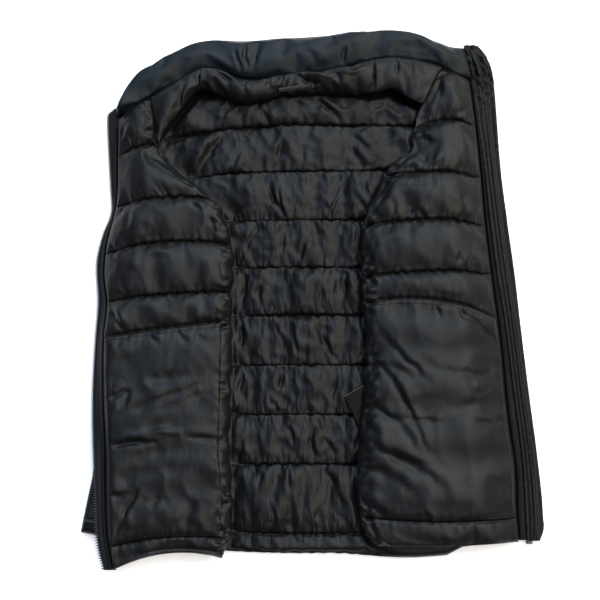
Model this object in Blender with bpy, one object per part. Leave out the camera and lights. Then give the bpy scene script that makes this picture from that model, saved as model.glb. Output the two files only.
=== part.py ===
"""Puffer vest, unzipped and laid open on its back, with both fronts folded back outwards.

The back lies on the floor with its lining up. Each front runs in over it, turns back at the
inner fold and lies lining up on that hidden layer. The collar is spread out above the neck.
Millimetres in the tables, metres in the model; +Y points to the collar, +Z is up.
"""
import bmesh
import bpy
import numpy as np

for item in list(bpy.data.objects):
    bpy.data.objects.remove(item, do_unlink=True)

MM = 0.001
CENTRE = (15.0, 16.16)      # middle of the laid-out vest in the tables' plan positions
GAP = 0.3                   # between pieces that are sewn or lie on each other

BACK_PLAIN = 14.0           # back's height under the folded fronts
BACK_STITCH = 7.0           # back's height on a stitch line
BACK_CROWN = 17.0           # back's height in the middle of a channel
BACK_NECK = 18.0            # back's height under the neck roll
FOLD_TOP = 28.0             # top of the hidden folded layer
EDGE = 4.8                  # thickness of a front along its zip edge
BAG_WALL = 1.7              # pocket bag, two layers of lining cloth
TAPE = 1.5                  # zip tape
TEETH = (4.0, 3.0)          # width and height of a row of zip teeth
RIGHT_TAPE_Z = 4.6          # underside of the right zip tape
PLACKET = 2.8               # thickness of the wind flap
CARE_LABEL_Z = (16.8, 17.6)


def table(names, rows):
    """A short table as a dictionary of its named columns."""
    return dict(zip(names.split(), np.array(rows, float).T))


# Quilting rows of the back, hem to neck: where a row meets the left side, the middle and the
# right side, and how high the row and the channel above it stand in the open middle.
BACK = table("x_left y_left y_mid x_right y_right line crown", [
    (-260, -284, -308, 235, -296, 8.0, 12.0),       # hem edge
    (-256, -259, -286, 228, -272, 8.0, BACK_CROWN),     # hem line
    (-247, -204, -204, 222, -204, BACK_STITCH, BACK_CROWN),
    (-241, -146, -144, 214, -146, BACK_STITCH, BACK_CROWN),
    (-235, -84, -83, 208, -85, BACK_STITCH, BACK_CROWN),
    (-230, -21, -21, 203, -21, BACK_STITCH, BACK_CROWN),
    (-227, 40, 40, 200, 40, BACK_STITCH, BACK_CROWN),
    (-221, 99, 102, 193, 103, BACK_STITCH, BACK_CROWN),
    (-203, 150, 167, 172, 172, BACK_STITCH, BACK_CROWN),
    (-196, 206, 229, 164, 227, BACK_STITCH, 18.0),
    (-190, 232, 256, 168, 258, BACK_NECK, BACK_NECK),   # just under the roll's lip
    (-166, 262, 285, 146, 297, BACK_NECK, BACK_NECK),   # neck edge
])

# Inner fold of each front and its zip edge, as x along y.
LEFT_FOLD = table("y x", [
    (-316, -92), (-304, -87), (-177, -84), (-81, -83), (-7, -84), (69, -85), (95, -93),
    (116, -102), (138, -126), (162, -156), (174, -170), (195, -181.5), (225, -184.5),
    (248, -187), (268, -190)])
RIGHT_FOLD = table("y x", [
    (-302, 92), (-286, 78), (-265, 71), (-165, 72), (-108, 79), (-68, 81), (-11, 77), (36, 76),
    (87, 78), (107, 83), (134, 98), (173, 120), (186, 139), (205, 143), (239, 151), (264, 160),
    (287, 170), (303, 181)])
LEFT_ZIP = table("y x", [
    (-327, -215), (-285, -223), (-250, -226), (-188, -229), (-125, -234), (-53, -237),
    (-4, -237), (25, -242), (61, -242), (119, -232), (186, -233), (234, -235)])
RIGHT_ZIP = table("y x", [
    (-295, 258), (-268, 257), (-204, 257), (-165, 253), (-111, 249), (-67, 247), (-9, 242),
    (34, 238), (98, 233), (164, 230), (249, 224), (291, 220)])

# Quilting rows of a front, hem to neck: y at the zip, y at the inner fold, rise of the middle
# over the straight line; underside at the zip, on the hidden layer and inside the fold; how far
# from the zip it reaches that layer; thickness on the row and extra height of the channel above.
FRONT_COLUMNS = "y_zip y_fold rise z_zip z_mid z_fold reach line puff"
LEFT_ROWS = table(FRONT_COLUMNS, [
    (-327, -314, 12, 28.5, 28.3, 14.3, 12, 5.0, 3),     # hem edge
    (-302, -293, 7, 28.5, 28.3, 14.3, 12, 8.0, 3),      # hem line
    (-250, -240, 4, 28.5, 28.3, 14.3, 12, 11.0, 3),
    (-188, -180, 4, 28.5, 28.3, 14.3, 12, 11.0, 3),
    (-125, -115, 4, 28.5, 28.3, 14.3, 12, 11.0, 3),
    (-54, -34, 1, 26.5, 28.3, 14.3, 9, 8.5, 7),         # pocket mouth
    (-8, 3, 2, 16.0, 28.3, 14.3, 9.5, 8.0, 8),
    (54, 63, 7, 10.0, 28.3, 14.3, 17.5, 8.0, 8),
    (116, 122, 4, 8.0, 28.3, 14.3, 24, 8.0, 8),
    (185, 199, 3, 4.0, 15.0, 14.3, 20, 8.0, 8),
    (239, 265.5, 0, 1.5, 14.3, 14.3, 16, 8.0, 8),         # neck seam
])
RIGHT_ROWS = table(FRONT_COLUMNS, [
    (-295, -300, -3, 6.4, 28.3, 14.3, 28, 5.0, 3),      # hem edge
    (-268, -267, -6, 6.4, 28.3, 14.3, 33, 8.0, 3),      # hem line
    (-205, -206, 2, 6.4, 28.3, 14.3, 39, 11.0, 3),
    (-146, -147, 2, 6.4, 28.3, 14.3, 41, 11.0, 3),
    (-87, -88, 3, 6.4, 28.3, 14.3, 43, 11.0, 3),
    (-28, -10, 11, 6.4, 28.3, 14.3, 43, 8.5, 5),        # pocket mouth
    (29, 24, 2, 6.4, 28.3, 14.3, 42, 8.0, 8),
    (91, 88, 5, 6.4, 28.3, 14.3, 42, 8.0, 8),
    (155, 154, 3, 6.4, 28.3, 14.3, 42, 8.0, 8),
    (224, 220, 9, 6.4, 16.0, 14.3, 28, 8.0, 8),
    (291, 303, 1.5, 6.4, 14.3, 14.3, 12, 8.0, 8),         # neck seam
])
MOUTH, HEM_LINE = 5, 1      # a pocket bag runs between these rows of its front

# Neck, left to right: seam, collar's outer edge, lip and crown of the roll below the seam. The
# roll spans stations 2 to 15; its shoulder seams are stations 5 and 12.
NECK = table("seam_x seam_y outer_x outer_y lip_x lip_y crown", [
    (-236, 241, -239, 250, -180, 200, 28),
    (-211, 254, -212, 297, -180, 200, 28),
    (-187, 268, -190, 313, -178.5, 199, 30),
    (-168, 279, -168, 327, -171, 216, 35),
    (-148, 290, -142, 340, -149, 246, 37),
    (-127, 301, -118, 345, -129, 270, 37),
    (-104, 300, -98, 346, -106, 269, 37),
    (-70, 289, -70, 345, -69, 254, 38),
    (-27, 291, -27, 349, -27, 268, 37),
    (1, 295, 1, 350, 1, 274, 36),
    (35, 300, 36, 353, 34, 272, 37),
    (65, 307, 66, 358, 64, 269, 38),
    (96, 315, 96, 359, 96, 274, 37),
    (122, 318, 124, 359, 122, 272, 36),
    (149, 315, 150, 355, 142, 267, 35),
    (176, 309, 176, 345, 157, 257, 31),
    (198, 300, 196, 338, 157, 257, 31),
    (220, 294, 213, 337, 157, 257, 31),
])
SHOULDERS = (2, 5, 12, 15)
NECK_LABEL = (8, 9)         # stations between which the neck label sits
# Collar section: part of the way from seam to outer edge, height as part of the crown.
COLLAR_CROWN = 26.0
COLLAR_SECTION = [(0, .80), (.06, .90), (.18, .97), (.45, 1.0), (.75, .95), (.93, .70),
                  (1, .38), (.95, .10), (.86, 0), (.12, 0), (.02, .15)]
# Roll section: part of the way from seam to lip, height between the back and the crown.
ROLL_SECTION = [(0, .10), (.05, .34), (.20, .70), (.45, 1.0), (.70, .95), (.90, .76),
                (1, .50), (.93, .28), (.60, 0), (.02, 0)]

# Left zip: outer edge of the teeth along y, and the teeth's underside.
LEFT_TEETH = table("y x z", [
    (-325, -227, 28.5), (-306, -233, 28.5), (-292, -236, 28.5), (-250, -240, 28.5),
    (-204, -243.5, 28.5), (-188, -245, 27), (-125, -250, 18), (-51, -251, 10), (-6, -250, 8), (54, -254, 4),
    (85, -248, 3), (112, -239, 3), (143, -241, 2), (186, -245, 1), (234, -249, 0.4)])
# Right side, collar to hem: inner (zip) and outer edge of the wind flap.
PLACKET_ROWS = table("y inner outer", [
    (340, 217, 232), (330, 218.5, 239), (316, 220, 245), (301, 222, 249), (285, 224, 250.5),
    (238, 229, 253), (174, 235, 256), (103, 240, 263), (24, 247, 270), (-22, 252.5, 273),
    (-116, 260, 280), (-201, 267, 287), (-262, 268, 290), (-284, 268, 289), (-294, 268.5, 284)])
TAPE_END = (-293, 286)      # y range of the right zip tape
BOX = ((268.5, 275.5), (-297.5, -281.0), (0.4, 4.3))
CARE_LABEL = [(48, -127), (75, -112), (77.5, -118), (71.5, -163), (68, -165)]

MATERIALS = {
    "lining": ((0.030, 0.031, 0.033), 0.34),
    "collar_lining": ((0.034, 0.042, 0.050), 0.36),
    "zip_tape": ((0.018, 0.020, 0.024), 0.75),
    "zip_teeth": ((0.045, 0.047, 0.050), 0.35),
    "placket": ((0.024, 0.024, 0.025), 0.70),
    "care_label": ((0.020, 0.020, 0.020), 0.40),
    "neck_label": ((0.32, 0.32, 0.31), 0.45),
}


def material(slot):
    """The slot's Principled material, made once."""
    found = bpy.data.materials.get(slot)
    if found is None:
        colour, rough = MATERIALS[slot]
        found = bpy.data.materials.new(slot)
        found.use_nodes = True
        shader = found.node_tree.nodes["Principled BSDF"]
        shader.inputs["Base Color"].default_value = (*colour, 1.0)
        shader.inputs["Roughness"].default_value = rough
        shader.inputs["Metallic"].default_value = 0.0
    return found


VEST = bpy.data.objects.new("puffer_vest", None)
bpy.context.scene.collection.objects.link(VEST)


def add_solid(name, points, faces, slot):
    """A closed, outward-facing, smooth-shaded object from points in table millimetres."""
    points = (np.asarray(points, float) - (*CENTRE, 0.0)) * MM
    middle = (points.min(axis=0) + points.max(axis=0)) / 2
    mesh = bpy.data.meshes.new(name)
    mesh.from_pydata((points - middle).tolist(), [], [list(map(int, f)) for f in faces])
    shape = bmesh.new()
    shape.from_mesh(mesh)
    bmesh.ops.recalc_face_normals(shape, faces=shape.faces)
    shape.to_mesh(mesh)
    shape.free()
    mesh.materials.append(material(slot))
    mesh.shade_smooth()
    mesh.set_sharp_from_angle(angle=np.radians(60))
    piece = bpy.data.objects.new(name, mesh)
    piece.location = middle
    piece.parent = VEST
    bpy.context.scene.collection.objects.link(piece)


def smooth(knots, values, at):
    """A curve through (knot, value) pairs in cubic pieces, each knot's slope being that of
    the parabola through its neighbours; outside the knots it keeps the end values."""
    slope = np.gradient(values, knots)
    at = np.clip(at, knots[0], knots[-1])
    i = np.clip(np.searchsorted(knots, at) - 1, 0, len(knots) - 2)
    step = knots[i + 1] - knots[i]
    t = (at - knots[i]) / step
    return (values[i] * (1 + 2 * t) * (1 - t) ** 2 + values[i + 1] * t * t * (3 - 2 * t)
            + step * slope[i] * t * (1 - t) ** 2 + step * slope[i + 1] * t * t * (t - 1))


def rows_of(count, ends=(0.14, 0.36, 0.68), last=(0.25, 0.6, 0.86)):
    """Grid lines along a panel of count quilting rows: close ones at both ends."""
    inner = [k + t for k in range(1, count - 2) for t in (0.0, 0.2, 0.5, 0.8)]
    return np.array([0.0, *ends, *inner, count - 2, *(count - 2 + t for t in last), count - 1])


def puffs(v):
    """0 on each quilting row and 1 in the middle of each channel, steep beside the rows."""
    t = v - np.floor(v)
    return np.sqrt(4 * t * (1 - t))


def grid_faces(ids, flat=False):
    """Two triangles a cell; with flat, one polygon stands for all but the two outer rings."""
    faces = []
    rows, cols = ids.shape
    for i in range(rows - 1):
        for j in range(cols - 1):
            if flat and 2 <= i < rows - 3 and 2 <= j < cols - 3:
                continue
            a, b, c, d = ids[i, j], ids[i, j + 1], ids[i + 1, j + 1], ids[i + 1, j]
            faces += [(a, b, c), (a, c, d)]
    if flat:
        inner = ids[2:-2, 2:-2]
        faces.append([*inner[0, :], *inner[1:, -1], *inner[-1, -2::-1], *inner[-2:0:-1, 0]])
    return faces


def add_padded(name, x, y, top, bottom, slot, flat_top=False, flat_bottom=False):
    """A stuffed panel: two surfaces over one plan grid that meet halfway at the border."""
    middle = np.pad(((top + bottom) / 2)[1:-1, 1:-1], 1, mode="edge")
    inside = np.zeros(x.shape, bool)
    inside[1:-1, 1:-1] = True
    upper = np.arange(x.size).reshape(x.shape)
    lower = upper.copy()
    lower[inside] = x.size + np.arange(inside.sum())
    points = np.concatenate([
        np.stack([x, y, np.where(inside, top, middle)], axis=-1).reshape(-1, 3),
        np.stack([x, y, bottom], axis=-1)[inside]])
    faces = grid_faces(upper, flat_top) + [f[::-1] for f in grid_faces(lower, flat_bottom)]
    used = np.unique(np.concatenate([np.ravel(f) for f in faces]))
    index = np.full(len(points), -1)
    index[used] = np.arange(len(used))
    add_solid(name, points[used], [[index[k] for k in f] for f in faces], slot)


def add_cloth(name, x, y, bottom, wall, slot):
    """A cloth wall of even thickness over a plan grid, with square edges."""
    upper = np.arange(x.size).reshape(x.shape)
    lower = upper + x.size
    points = np.concatenate([np.stack([x, y, bottom + wall], axis=-1).reshape(-1, 3),
                             np.stack([x, y, bottom], axis=-1).reshape(-1, 3)])
    faces = grid_faces(upper) + [f[::-1] for f in grid_faces(lower)]
    ring = [*upper[0, :], *upper[1:, -1], *upper[-1, -2::-1], *upper[-2:0:-1, 0]]
    for a, b in zip(ring, ring[1:] + ring[:1]):
        faces += [(a, a + x.size, b + x.size), (a, b + x.size, b)]
    add_solid(name, points, faces, slot)


def add_swept(name, loops, slot):
    """Closed loops of points skinned one to the next, with flat ends."""
    count, size = loops.shape[:2]
    faces = [list(range(size))[::-1], list(range((count - 1) * size, count * size))]
    for i in range(count - 1):
        for j in range(size):
            a, b = i * size + j, i * size + (j + 1) % size
            faces += [(a, b, b + size), (a, b + size, a + size)]
    add_solid(name, loops.reshape(-1, 3), faces, slot)


def back_row(v, column):
    """A plan column of the back's table at row position v."""
    return smooth(np.arange(len(BACK["line"])), BACK[column], v)


def fold_crossing(fold, x_side, y_side, y_mid):
    """Where a bowed quilting row of the back crosses a front's inner fold."""
    x = smooth(fold["y"], fold["x"], y_mid)
    for _ in range(3):
        y = y_mid + (y_side - y_mid) * np.clip(x / x_side, 0, 1) ** 2
        x = smooth(fold["y"], fold["x"], y)
    return x


def make_back():
    """Across: rounded side edges, plain under the fronts, quilted between the two folds."""
    v = rows_of(len(BACK["line"]))[:, None]
    x_left, x_right = back_row(v, "x_left"), back_row(v, "x_right")
    y_left, y_mid, y_right = (back_row(v, c) for c in ("y_left", "y_mid", "y_right"))
    fold_left = fold_crossing(LEFT_FOLD, x_left, y_left, y_mid)
    fold_right = fold_crossing(RIGHT_FOLD, x_right, y_right, y_mid)
    sides = [np.maximum(fold_left + 4, x_left + 12), np.maximum(fold_left + 17, x_left + 24),
             np.minimum(fold_right - 17, x_right - 24), np.minimum(fold_right - 4, x_right - 12)]
    inner = [sides[1] + (sides[2] - sides[1]) * k / 7 for k in range(1, 7)]
    x = np.concatenate([x_left, x_left + 3, x_left + 8, sides[0], sides[1], *inner, sides[2],
                        sides[3], x_right - 8, x_right - 3, x_right], axis=1)
    left = np.clip(x / x_left, 0, 1)
    right = np.clip(x / x_right, 0, 1)
    y = y_mid + (y_left - y_mid) * left ** 2 + (y_right - y_mid) * right ** 2
    line = np.interp(v, np.arange(len(BACK["line"])), BACK["line"])
    crown = BACK["crown"][np.minimum(v.astype(int), len(BACK["crown"]) - 1)]
    quilted = line + (np.maximum(crown, line) - line) * puffs(v)
    open_part = np.array([0, 0, 0, 0, .8, 1, 1, 1, 1, 1, 1, .8, 0, 0, 0, 0])
    top = BACK_PLAIN + (quilted - BACK_PLAIN) * open_part
    top[:, [1, -2]] -= 2.0
    top[1] -= 2.0
    bottom = np.zeros(x.shape)
    bottom[1], bottom[-2], bottom[:, 1], bottom[:, -2] = 1.5, 1.5, 1.5, 1.5
    add_padded("back_panel", x, y, top, bottom, "lining", flat_bottom=True)


def make_under_fold(name, fold, side, y_hem, y_hem_side, y_top, sign):
    """The hidden layer: from 3 mm inside the back's side edge to 16 mm short of the fold."""
    t = np.array([0, .01, .027, .15, .3, .45, .6, .75, .88, .973, .99, 1])[:, None]
    lines = [y_hem + (y_top - y_hem) * t, y_hem_side + (y_top - y_hem_side) * t]
    y_side = BACK["y_left"] if sign < 0 else BACK["y_right"]
    outer = smooth(y_side, BACK[side], lines[1]) - sign * 3
    inner = smooth(fold["y"], fold["x"], lines[0]) + sign * 16
    width = np.abs(outer - inner)
    across = np.concatenate([0 * width, 3 / width, 8 / width, 0.5 + 0 * width, 1 - 8 / width,
                             1 - 3 / width, 1 + 0 * width], axis=1)
    x = outer + (inner - outer) * across
    y = lines[1] + (lines[0] - lines[1]) * across
    top, bottom = np.full(x.shape, FOLD_TOP), np.full(x.shape, BACK_PLAIN + GAP)
    for edge in (np.s_[1, :], np.s_[-2, :], np.s_[:, 1], np.s_[:, -2]):
        top[edge] -= 3.0
        bottom[edge] += 2.0
    add_padded(name, x, y, top, bottom, "lining", flat_top=True, flat_bottom=True)


def front_grid(rows, zip_edge, fold):
    """Plan grid, top and underside of a front, hem to neck and zip to inner fold."""
    count = len(rows["line"])
    v = rows_of(count)[:, None]
    index = np.arange(count)
    y_zip, y_fold, rise = (smooth(index, rows[c], v) for c in ("y_zip", "y_fold", "rise"))
    x_zip = smooth(zip_edge["y"], zip_edge["x"], y_zip)
    x_fold = smooth(fold["y"], fold["x"], y_fold)
    z_zip, z_mid, z_fold, reach, line = (
        np.interp(v, index, rows[c]) for c in ("z_zip", "z_mid", "z_fold", "reach", "line"))
    puff = rows["puff"][np.minimum(v.astype(int), count - 1)]
    width = np.hypot(x_fold - x_zip, y_fold - y_zip)
    near, far = reach, width - 22
    across = np.concatenate([0 * width, 3 + 0 * width, 7 + 0 * width, near,
                             near + (far - near) * .25, near + (far - near) * .5,
                             near + (far - near) * .75, far, width - 14, width - 12,
                             width - 4, width], axis=1) / width
    x = x_zip + (x_fold - x_zip) * across
    y = y_zip + (y_fold - y_zip) * across + rise * 4 * across * (1 - across)
    crest = z_mid + line + puff * puffs(v)
    climb = np.array([0, 0, .25, .7, 1, 1, 1, 1, .97, .94, .78, 0])
    low = z_zip + EDGE
    top = low + (crest - low) * climb
    top[:, [10]] = z_fold + (crest - z_fold) * .74
    bottom = np.concatenate([z_zip] * 3 + [z_mid] * 6 + [z_fold] * 3, axis=1)
    top = np.maximum(top, bottom + 4)
    top[[1, -2]] -= (top - bottom)[[1, -2]] * .3
    return x, y, top, bottom, v


def make_front(side, rows, zip_edge, fold):
    """A front and the flat pocket bag that lies on it from the pocket mouth to the hem line."""
    x, y, top, bottom, v = front_grid(rows, zip_edge, fold)
    add_padded(side + "_front", x, y, top, bottom, "lining")
    bag = np.s_[np.flatnonzero((v >= HEM_LINE) & (v <= MOUTH)), 1:9]
    add_cloth(side + "_pocket_bag", x[bag], y[bag], top[bag] + GAP + 0.05, BAG_WALL, "lining")


def neck_stations(first, last):
    """Seam, outer edge, lip and crown at half-station steps."""
    at = np.arange(first, last + 0.25, 0.5)
    index = np.arange(len(NECK["crown"]))
    return [smooth(index, NECK[c], at) for c in NECK]


def make_collar():
    """A stuffed band with a flat underside, swept along the neck seam, round at its ends."""
    seam_x, seam_y, outer_x, outer_y = neck_stations(0, len(NECK["crown"]) - 1)[:4]
    seam_y = seam_y + GAP
    size = np.ones(len(seam_x))
    size[[0, -1]], size[[1, -2]] = .55, .9
    part, height = np.array(COLLAR_SECTION).T
    loops = np.stack([seam_x[:, None] + (outer_x - seam_x)[:, None] * part,
                      seam_y[:, None] + (outer_y - seam_y)[:, None] * part,
                      COLLAR_CROWN * size[:, None] * height], axis=-1)
    add_swept("collar", loops, "collar_lining")


def roll_loops(first, last):
    """Closed sections of the roll below the collar, between two stations."""
    seam_x, seam_y, _, _, lip_x, lip_y, crown = neck_stations(first, last)
    part, height = np.array(ROLL_SECTION).T
    floor = BACK_NECK + GAP
    return np.stack([seam_x[:, None] + (lip_x - seam_x)[:, None] * part,
                     seam_y[:, None] + (lip_y - seam_y)[:, None] * part,
                     floor + (crown[:, None] - floor) * height], axis=-1)


def make_neck():
    """The roll in its three sewn parts, with the label on its face above the lip."""
    names = ("left_shoulder", "neck_roll", "right_shoulder")
    for name, first, last in zip(names, SHOULDERS, SHOULDERS[1:]):
        loops = roll_loops(first, last)
        if name == "neck_roll":
            loops[0, :, 0] += 2 * GAP
            loops[-1, :, 0] -= 2 * GAP
        add_swept(name, loops, "lining")
    face = roll_loops(*NECK_LABEL)[:, 5:7]
    along = face[:, 1] - face[:, 0]
    out = np.cross(face[-1, 0] - face[0, 0], along)
    out *= -np.sign(out[:, 1:2]) / np.linalg.norm(out, axis=1, keepdims=True)
    near, far = face + out[:, None] * .35, face + out[:, None] * 1.15
    add_swept("neck_label", np.concatenate([near, far[:, ::-1]], axis=1), "neck_label")


def make_left_zip():
    """Tape from the front's edge out to the row of teeth, which sinks towards the floor."""
    index = np.arange(len(LEFT_ROWS["y_zip"]))
    y = smooth(index, LEFT_ROWS["y_zip"], np.arange(0, index[-1] + 0.25, 0.5))
    x, z = (smooth(LEFT_TEETH["y"], LEFT_TEETH[c], y) for c in "xz")
    edge = smooth(LEFT_ZIP["y"], LEFT_ZIP["x"], y) - 3 * GAP
    z_edge = np.interp(y, LEFT_ROWS["y_zip"], LEFT_ROWS["z_zip"]) + (EDGE - TAPE) / 2
    width, height = TEETH
    z_end = z + (height - TAPE) / 2
    end = x + width + GAP
    loops = np.stack([np.stack([edge + (end - edge) * a, y, z_edge + (z_end - z_edge) * a + b],
                               -1)
                      for a, b in ((0, 0), (0, TAPE), (.5, TAPE + .4), (1, TAPE), (1, 0),
                                   (.5, .4))], axis=1)
    add_swept("left_zip_tape", loops, "zip_tape")
    loops = np.stack([np.stack([x + a * width, y, z + b * height], -1)
                      for a, b in ((0, .2), (.2, 0), (1, 0), (1, 1), (.2, 1), (0, .8))], axis=1)
    add_swept("left_zip_teeth", loops, "zip_teeth")


def make_right_zip():
    """Tape under the wind flap, the teeth below it and the box at their end; the flap lies
    on the tape and sinks to the floor at its outer edge."""
    y, inner, outer = (PLACKET_ROWS[c] for c in ("y", "inner", "outer"))
    z = RIGHT_TAPE_Z + TAPE + 0.4
    section = ((0.5, z), (11.0, z), (-1.0, 1.0), (0.0, 2.4), (-1.2, 1.0 + PLACKET),
               (12.0, z + PLACKET), (1.5, z + PLACKET), (0.0, z + PLACKET / 2))
    from_outer = {2, 3, 4}
    loops = np.stack([np.stack([(outer if k in from_outer else inner) + a, y, b + 0 * y], -1)
                      for k, (a, b) in enumerate(section)], axis=1)
    add_swept("placket", loops, "placket")
    keep = (y >= TAPE_END[0]) & (y < TAPE_END[1])
    y, inner = np.append(y[keep], TAPE_END[0]), np.append(inner[keep], 268)
    edge = smooth(RIGHT_ZIP["y"], RIGHT_ZIP["x"], y) - 6
    loops = np.stack([np.stack([a, y, b + 0 * y], -1) for a, b in (
        (edge, RIGHT_TAPE_Z), (inner + 8, RIGHT_TAPE_Z), (inner + 8, RIGHT_TAPE_Z + TAPE),
        (edge, RIGHT_TAPE_Z + TAPE))], axis=1)
    add_swept("right_zip_tape", loops, "zip_tape")
    y = np.where(y < BOX[1][1] + GAP, BOX[1][1] + GAP, y)[:-1]
    loops = np.stack([np.stack([inner[:-1] + a, y, b + 0 * y], -1) for a, b in (
        (3.5, 0.4), (7.5, 0.4), (7.5, RIGHT_TAPE_Z - GAP), (3.5, RIGHT_TAPE_Z - GAP))], axis=1)
    add_swept("right_zip_teeth", loops, "zip_teeth")
    (x0, x1), (y0, y1), (z0, z1) = BOX
    loops = np.array([[(x, y, z) for x, z in ((x0 + a, z0), (x1 - a, z0), (x1, z0 + 1),
                                              (x1, z1 - 1), (x1 - a, z1), (x0 + a, z1),
                                              (x0, z1 - 1), (x0, z0 + 1))]
                      for y, a in ((y0, 2.0), (y0 + 1.5, 1.0), (y1, 1.0))])
    add_swept("zip_box", loops, "zip_teeth")


def make_care_label():
    """A flat label that comes out from under the right front's inner fold."""
    plan = np.array(CARE_LABEL, float)
    loops = np.stack([np.column_stack([plan, np.full(len(plan), z)]) for z in CARE_LABEL_Z])
    add_swept("care_label", loops, "care_label")


make_back()
make_under_fold("left_under_fold", LEFT_FOLD, "x_left", -296, -272, 110, -1)
make_under_fold("right_under_fold", RIGHT_FOLD, "x_right", -288, -280, 146, 1)
make_front("left", LEFT_ROWS, LEFT_ZIP, LEFT_FOLD)
make_front("right", RIGHT_ROWS, RIGHT_ZIP, RIGHT_FOLD)
make_collar()
make_neck()
make_left_zip()
make_right_zip()
make_care_label()
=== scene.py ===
import bpy
import numpy as np
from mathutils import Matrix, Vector


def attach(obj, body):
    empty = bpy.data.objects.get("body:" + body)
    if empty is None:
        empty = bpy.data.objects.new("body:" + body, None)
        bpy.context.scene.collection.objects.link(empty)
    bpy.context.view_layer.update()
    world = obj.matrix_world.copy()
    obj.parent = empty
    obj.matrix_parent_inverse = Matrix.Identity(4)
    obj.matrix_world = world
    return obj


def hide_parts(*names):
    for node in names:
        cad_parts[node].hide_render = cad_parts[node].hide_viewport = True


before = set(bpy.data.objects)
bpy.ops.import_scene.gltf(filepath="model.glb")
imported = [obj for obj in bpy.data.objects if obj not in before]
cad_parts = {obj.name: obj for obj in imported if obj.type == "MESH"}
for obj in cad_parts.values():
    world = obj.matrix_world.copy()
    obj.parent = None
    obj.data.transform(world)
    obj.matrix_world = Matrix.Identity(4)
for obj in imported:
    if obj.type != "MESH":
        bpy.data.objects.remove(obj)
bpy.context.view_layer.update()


# ---- Back panel ------------------------------------------------------------------------------
# The back of the vest: glossy lining, loose filling and shell sewn through in rows about 61 mm
# apart. It lies on the floor, lining up; the rows gather the lining into small uneven folds.
# Plan sizes are in millimetres from the pattern's zero, which sits at ZERO in the frame.
MM = 0.001
ZERO = np.array((-15.0, -16.16, 0.0))
CHANNEL = 61            # from one quilting row to the next


def table(names, rows):
    """A short table as a dictionary of its named columns."""
    return dict(zip(names.split(), np.array(rows, float).T))


def smooth(knots, values, at):
    """A curve through (knot, value) pairs in cubic pieces, each knot's slope being that of
    the parabola through its neighbours; outside the knots it keeps the end values."""
    knots, values = np.asarray(knots, float), np.asarray(values, float)
    slope = np.gradient(values, knots)
    at = np.clip(at, knots[0], knots[-1])
    i = np.clip(np.searchsorted(knots, at) - 1, 0, len(knots) - 2)
    step = knots[i + 1] - knots[i]
    t = (at - knots[i]) / step
    return (values[i] * (1 + 2 * t) * (1 - t) ** 2 + values[i + 1] * t * t * (3 - 2 * t)
            + step * slope[i] * t * (1 - t) ** 2 + step * slope[i + 1] * t * t * (t - 1))


def ease(t):
    """0 below 0, 1 above 1, an S curve between: 3 t squared less 2 t cubed."""
    t = np.clip(t, 0, 1)
    return t * t * (3 - 2 * t)


def turned(distance, radius):
    """Height of a quarter round, 0 at the edge and 1 from one radius in."""
    t = np.clip(distance / radius, 0, 1)
    return np.sqrt(1 - (1 - t) ** 2)


def puffs(v):
    """0 on each quilting row and 1 in the middle of each channel, steep beside the rows."""
    t = v - np.floor(v)
    return np.sqrt(np.maximum(4 * t * (1 - t), 0))


def channel_lines(counts):
    """Grid lines along a panel, counts[k] of them in the channel from row k to row k + 1 and
    closer beside the rows: t less 0.07 sin(2 pi t)."""
    lines = np.concatenate([k + np.arange(n) / n for k, n in enumerate(counts)]
                           + [[float(len(counts))]])[:, None]
    return lines - 0.07 * np.sin(2 * np.pi * lines)


def ripples(x, y, seed, lean=0.35, shortest=9, longest=40):
    """Uneven ripples about 1 high: 40 cosines across X, their lengths, leans and phases drawn
    from a seeded generator and the long ones made the higher."""
    draw = np.random.default_rng(seed)
    total = np.zeros(np.broadcast(x, y).shape)
    for _ in range(40):
        length, turn = draw.uniform(shortest, longest), draw.normal(0, lean)
        start = draw.uniform(0, 2 * np.pi)
        total += length / longest * np.cos(
            2 * np.pi / length * (x * np.cos(turn) + y * np.sin(turn)) + start)
    return total / 4


def creased(points, creases, give=1.0):
    """Presses creases into a grid, each given as depth, width, x1, y1, x2, y2, x3, y3. It bends
    through the three plan points, wandering a little, fades to both ends and is a narrow
    valley with a ridge on its left as it runs that falls away slowly, all bell curves of the
    distance across; a depth below 0 turns it over."""
    wander = 1.1
    ridge_at, ridge_high, ridge_slow = 1.9, 0.65, 2.6      # in widths, depths and widths
    x, y = points[..., 0], points[..., 1]
    x, y = ((x + wander * ripples(y, x, 2, 1.5, 8, 30))[..., None],
            (y + wander * ripples(x, y, 3, 1.5, 8, 30))[..., None])
    t = np.linspace(0, 1, 25)
    rise = 0
    for depth, width, x1, y1, x2, y2, x3, y3 in creases:
        px, py = ((1 - t) * (1 - 2 * t) * a + 4 * t * (1 - t) * b + t * (2 * t - 1) * c
                  for a, b, c in ((x1, x2, x3), (y1, y2, y3)))
        near = np.argmin((x - px) ** 2 + (y - py) ** 2, axis=-1)
        dx, dy = np.gradient(px), np.gradient(py)
        across = ((y[..., 0] - py[near]) * dx[near] - (x[..., 0] - px[near]) * dy[near]
                  ) / np.hypot(dx, dy)[near]
        fade = (4 * t * (1 - t))[near]
        beyond = across - ridge_at * width
        slow = width * np.where(beyond > 0, ridge_slow, 1)
        rise = rise + depth * fade * (ridge_high * np.exp(-(beyond / slow) ** 2)
                                      - np.exp(-(across / width) ** 2))
    points = points.copy()
    points[..., 2] += give * rise
    return points


def gathers(x, y, seed, lean=0.5):
    """Thin uneven valleys, 1 deep, where a sum of ripples crosses zero."""
    return np.exp(-(ripples(x, y, seed, lean, 8, 26) / 0.45) ** 2)


def facets(x, y, seed, shortest, longest):
    """Nearly flat facets that meet in sharp ridges, as in crumpled cloth: 0.8 less the size
    of a sum of ripples that run in every direction."""
    return 0.8 - np.abs(ripples(x, y, seed, 1.1, shortest, longest))


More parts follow.
